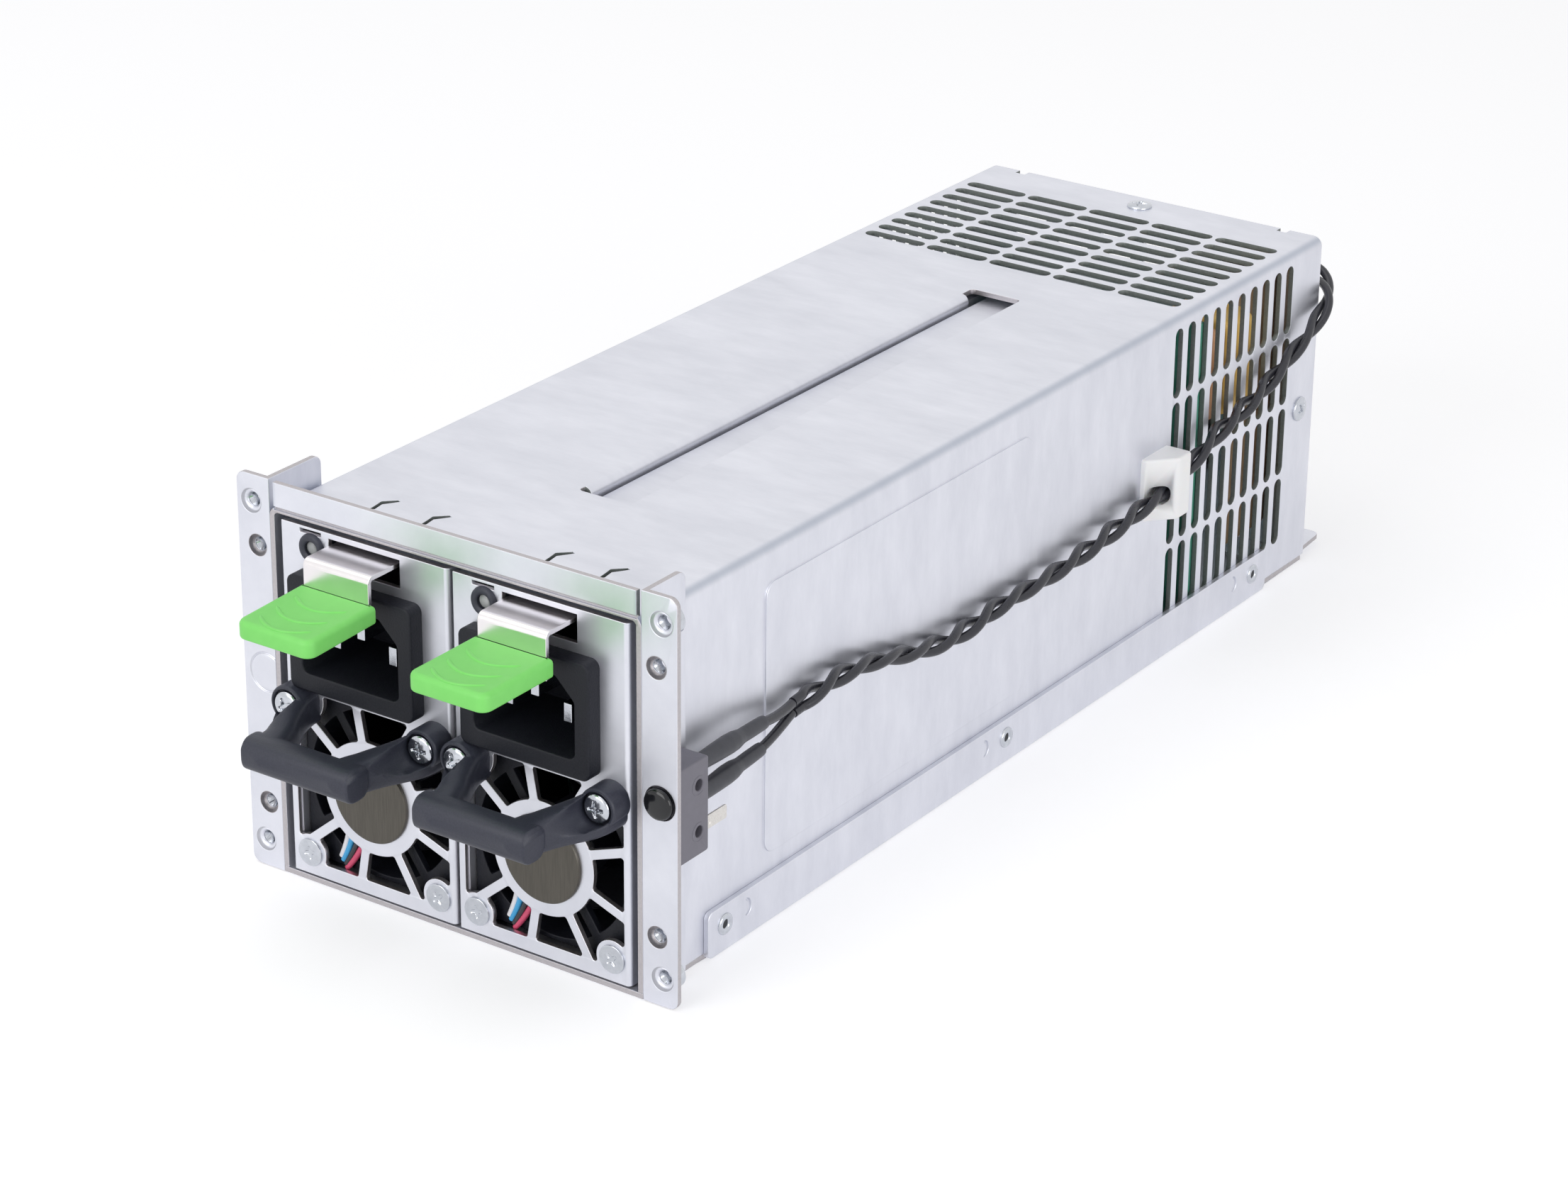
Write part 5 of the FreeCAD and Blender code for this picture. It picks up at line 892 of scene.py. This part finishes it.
def inlet_shell(middle):
    """The mains inlet as one closed skin: from the socket's floor out along its walls, over the
    rounded lip and the flange's face and edge, and back behind the panel."""
    inner, inner_ways = outline(SOCKET_CORNERS, 1.5)
    outer, outer_ways = outline(six_cornered(15.4, 45.5, 69.7, 1.8) + INLET_SHIFT, 1.8)
    case, case_ways = outline(six_cornered(13.4, 47.9, 67.6, 1.0) + INLET_SHIFT * (0.5, 0.5), 1.0)
    rows = []
    for points, ways, inset, height in (
            (inner, inner_ways, 0.4, -17.0), (inner, inner_ways, 0.0, -16.6),
            (inner, inner_ways, 0.0, 3.3), (inner, inner_ways, -0.06, 3.48),
            (inner, inner_ways, -0.2, 3.58), (inner, inner_ways, -0.35, 3.6),
            (outer, outer_ways, 0.5, 3.6), (outer, outer_ways, 0.35, 3.59),
            (outer, outer_ways, 0.12, 3.48), (outer, outer_ways, 0.02, 3.3),
            (outer, outer_ways, 0.0, 3.1), (outer, outer_ways, 0.0, 0.0),
            (case, case_ways, 0.0, -0.05), (case, case_ways, 0.0, -20.6),
            (case, case_ways, 0.4, -21.0)):
        rows.append(laid(points - inset * ways, height, (middle, 0, 0), FRONT))
    return skin(np.stack(rows))


def pull_handle(middle):
    """The handle's bar, its two arms and its two bosses. The arm is a rounded oblong carried
    from a round nose at the bar's front, back and outwards to the boss on the panel."""
    along = np.array((-13.35, -13.3, -13.1, -12.7, 12.7, 13.1, 13.3, 13.35))
    size = np.array((0.86, 0.93, 0.98, 1.0, 1.0, 0.98, 0.93, 0.86))
    bar = np.stack([middle + along, np.full(8, -19.4), np.full(8, 37.8)], axis=-1)
    shapes = [swept(bar, 3.3 * size, 3.5 * size, 3.0, 36)]
    plan = np.array(((9.1, -22.9), (9.2, -21.5), (9.4, -19.0), (9.8, -16.5), (11.0, -13.0),
                     (13.0, -9.5), (15.2, -6.0), (16.3, -3.0), (16.4, -0.05)))
    gone = np.concatenate([[0], np.cumsum(np.linalg.norm(np.diff(plan, axis=0), axis=1))])
    fine = np.linspace(0, gone[-1], 40)
    share = fine / gone[-1]
    smooth, _ = spline_points(np.hstack([plan, np.zeros((9, 1))]), 40)
    half_side = np.interp(fine, (0, 0.25, 1.0, 2.2, 4.0, 8.0, 13.0, 19.0, gone[-1]),
                          (0.4, 1.7, 3.0, 3.8, 3.9, 3.1, 3.0, 3.7, 3.9))
    half_rise = np.interp(fine, (0, 0.25, 1.0, 2.2, 9.0, gone[-1]),
                          (0.4, 1.7, 2.9, 3.45, 3.6, 4.25))
    height = 37.8 + 1.75 * np.clip((share - 0.35) / 0.65, 0, 1) ** 1.3
    for way in (-1, 1):
        path = np.stack([middle + way * smooth[:, 0], smooth[:, 1], height], axis=-1)
        shapes.append(swept(path, half_side, half_rise, 3.2, 36))
        shapes.append(turned(((4.1, 0.0), (4.1, 4.5), (4.02, 4.8), (3.8, 5.0), (0.5, 5.0)),
                             (middle + BOSS_ACROSS * way, 0, BOSS_HEIGHT), FRONT))
    return shapes


def tab_shape(middle, nose, low, high, droop):
    """The latch's tab: a block with rounded corners and edges that droops to its nose, and the
    three thumb arcs on it, each a low crest that bows to the nose."""
    corners = ((-9.25, -7.4), (-9.25, nose), (9.25, nose), (9.25, -7.4))
    block = moulding(corners, (0.7, 2.3, 2.3, 0.7), levels(low, high, 0.6, 1.1),
                     (middle, 0, 0), UP)
    across = np.linspace(-6.4, 6.4, 41)
    thin = np.clip(1 - np.abs(across / 6.45) ** 14, 0.05, 1)
    shapes = [block]
    for apex in (11.1, 5.6, 0.9):
        bow = nose + apex + 3.1 * (across / 6.4) ** 2
        crest = np.stack([middle + across, bow + 0.25, np.full(41, high)], axis=-1)
        shapes.append(swept(crest, 0.45 * thin, 0.24 * thin, 2.0, 14))
    points, faces = joined(shapes)
    fall = droop * np.clip((-7.4 - points[:, 1]) / (-7.4 - nose), 0, 1)
    return points - fall[:, None] * UP, faces


def rotor_shape(middle):
    """The fan's rotor: a cupped hub, and seven blades whose lens section turns flatter and
    sweeps forward from root to tip, wrapped on cylinders round the shaft."""
    spot = (middle, 0, FAN_HEIGHT)
    shapes = [
        turned(((0.02, -6.4), (2.2, -6.4), (2.6, -5.9), (5.2, -5.6), (7.2, -5.45), (7.8, -5.9),
                (8.0, -6.5), (8.0, -23.0), (7.6, -23.3), (0.5, -23.3)), spot, FRONT),
        turned(((1.3, -3.3), (1.4, -3.5), (1.4, -7.0), (1.2, -7.2)), spot, FRONT, around=20)]
    share = np.linspace(0, 1, 9)[:, None]
    lap = np.linspace(0, 2 * np.pi, 28, endpoint=False)[None]
    radius = 7.6 + 9.4 * share
    pitch = np.radians(58 - 16 * share)
    chord = 12.5 + 2.5 * share
    reach = chord / 2 * np.cos(lap)
    thick = 0.62 * np.sin(lap) * (0.55 + 0.45 * np.cos(lap / 2) ** 2)
    bowed = thick + 0.9 * (1 - (2 * reach / chord) ** 2)
    axial = 14.4 + reach * np.sin(pitch) + bowed * np.cos(pitch)
    around = (reach * np.cos(pitch) - bowed * np.sin(pitch)) / radius + 0.3 * share
    for number in range(7):
        angle = around + 2 * np.pi * number / 7
        shapes.append(skin(np.stack([middle + radius * np.cos(angle), axial,
                                     FAN_HEIGHT + radius * np.sin(angle)], axis=-1)))
    return shapes


FAN_LEADS = (((-7.8, 13.3), (-10.0, 6.8)), ((-6.8, 12.5), (-9.6, 6.0)),
             ((-5.7, 11.4), (-8.9, 5.4)), ((-4.7, 10.3), (-8.7, 4.5)))
TABS = {"left": (-27.0, 66.0, 69.8, 0.7), "right": (-28.0, 66.5, 70.4, 0.0)}

for side, middle in (("left", -21.2), ("right", 21.2)):
    body = "module_" + side
    rounded_copy(side + "_front_panel", side + "_punched_front", (galvanised, highlit_grille_edge), body,
                 1.2, 0.14)
    finish_nodes(galvanised, side + "_housing")
    finish_nodes(solder_mask, side + "_circuit_board")
    finish_nodes(can_sleeve, side + "_bulk_capacitor")
    finish_nodes(yellow_tape, side + "_transformer")
    rounded_copy(side + "_fan_frame", side + "_fan_body", (inlet_nylon,), body, 0,
                 0.25)

    screws = [screw((middle + u, 0, 6.5), FRONT, 3.0, 0.42, 0.08, 1.2, 8.0, t, 0.5, 0.42)
              for u, t in ((-16.4, 0.25), (16.4, 0.7))]
    piece(side + "_flat_screws", joined(screws), bright_zinc, body,
          [side + "_panel_screws"])
    screws = [screw((middle + u, -4.0, BOSS_HEIGHT), FRONT, 2.95, 1.2, 0.6, 1.2, 5.0, t)
              for u, t in ((-BOSS_ACROSS, 0.5), (BOSS_ACROSS, 0.1))]
    piece(side + "_domed_screws", joined(screws), bright_zinc, body,
          [side + "_handle_screws"])
    piece(side + "_bronze_disc", turned(
        ((9.2, 0.0), (9.2, 0.45), (9.05, 0.7), (8.75, 0.8), (8.6, 0.8), (0.5, 0.8)),
        (middle, 0, FAN_HEIGHT), FRONT, around=96), bronze, body,
        [side + "_hub_disc"])

    handle = piece(side + "_pull_handle", joined(pull_handle(middle)), nylon, body,
                   [side + "_handle"])
    carved(handle, [turned(
        ((0.5, 4.0), (3.4, 4.0), (3.4, 9.0), (3.7, 16.0), (4.0, 30.0), (0.5, 30.0)),
        (middle + BOSS_ACROSS * way, 0, BOSS_HEIGHT), FRONT, around=48) for way in (-1, 1)],
        crossed=True)
    piece(side + "_mains_inlet", inlet_shell(middle), inlet_nylon, body,
          [side + "_inlet"])
    blades = []
    for u, height, front in ((-7, 56.1, 1.0), (7, 56.1, 1.0), (0, 60.1, 0.0)):
        blades.append(moulding(rectangle(1.0, 2.0, INLET_SHIFT), 0.25,
                               levels(-17.0, -front, 0.1, 0.2), (middle + u, 0, height),
                               FRONT))
    piece(side + "_inlet_blades", joined(blades), bright_zinc, body,
          [side + "_inlet_pins"])

    light = (middle - 12.9, 0, 73.3)
    piece(side + "_light_ring", turned(
        ((1.52, -5.0), (1.52, 0.5), (1.62, 0.62), (2.2, 0.9), (2.7, 0.82), (3.0, 0.5), (3.1, 0.1),
         (3.1, 0.0), (2.4, 0.0), (2.4, -5.0)), light, FRONT, "ring"), nylon, body,
        [side + "_light_holder"])
    piece(side + "_clear_light", turned(
        ((1.3, -5.3), (1.45, -5.1), (1.45, -0.35), (1.38, -0.02), (1.1, 0.17), (0.6, 0.27),
         (0.02, 0.3)), light, FRONT), clear_epoxy, body, [side + "_light"])

    leads = []
    for start, end in FAN_LEADS:
        share = np.linspace(0, 1, 16)[:, None]
        path = np.insert(start + share * (np.array(end) - start), 1, 0.0, axis=1)
        path += (middle, 2.1, 0.0)
        path += np.sin(share * np.pi) * (0.15, 0, -0.1)
        leads.append(swept(path, 0.62, 0.62, around=16, reference=(0.0, 1.0, 0.0)))
    piece(side + "_fan_wires", joined(leads, (0, 1, 2, 3)), lead_colours, body,
          [side + "_fan_leads"])

    rounded_copy(side + "_latch_plate", side + "_latch_spring", (mirror_plate,), "latch_" + side,
                 0, 0.15)
    piece(side + "_release_tab", tab_shape(middle, *TABS[side]), green_abs, "latch_" + side,
          [side + "_latch_tab"])
    piece(side + "_bladed_rotor", joined(rotor_shape(middle)), inlet_nylon, "rotor_" + side,
          [side + "_fan_rotor"])

covered = {name for piece_made in bpy.data.objects for name in piece_made.get("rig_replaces", [])}
for name in covered:
    finish_nodes(galvanised, name)
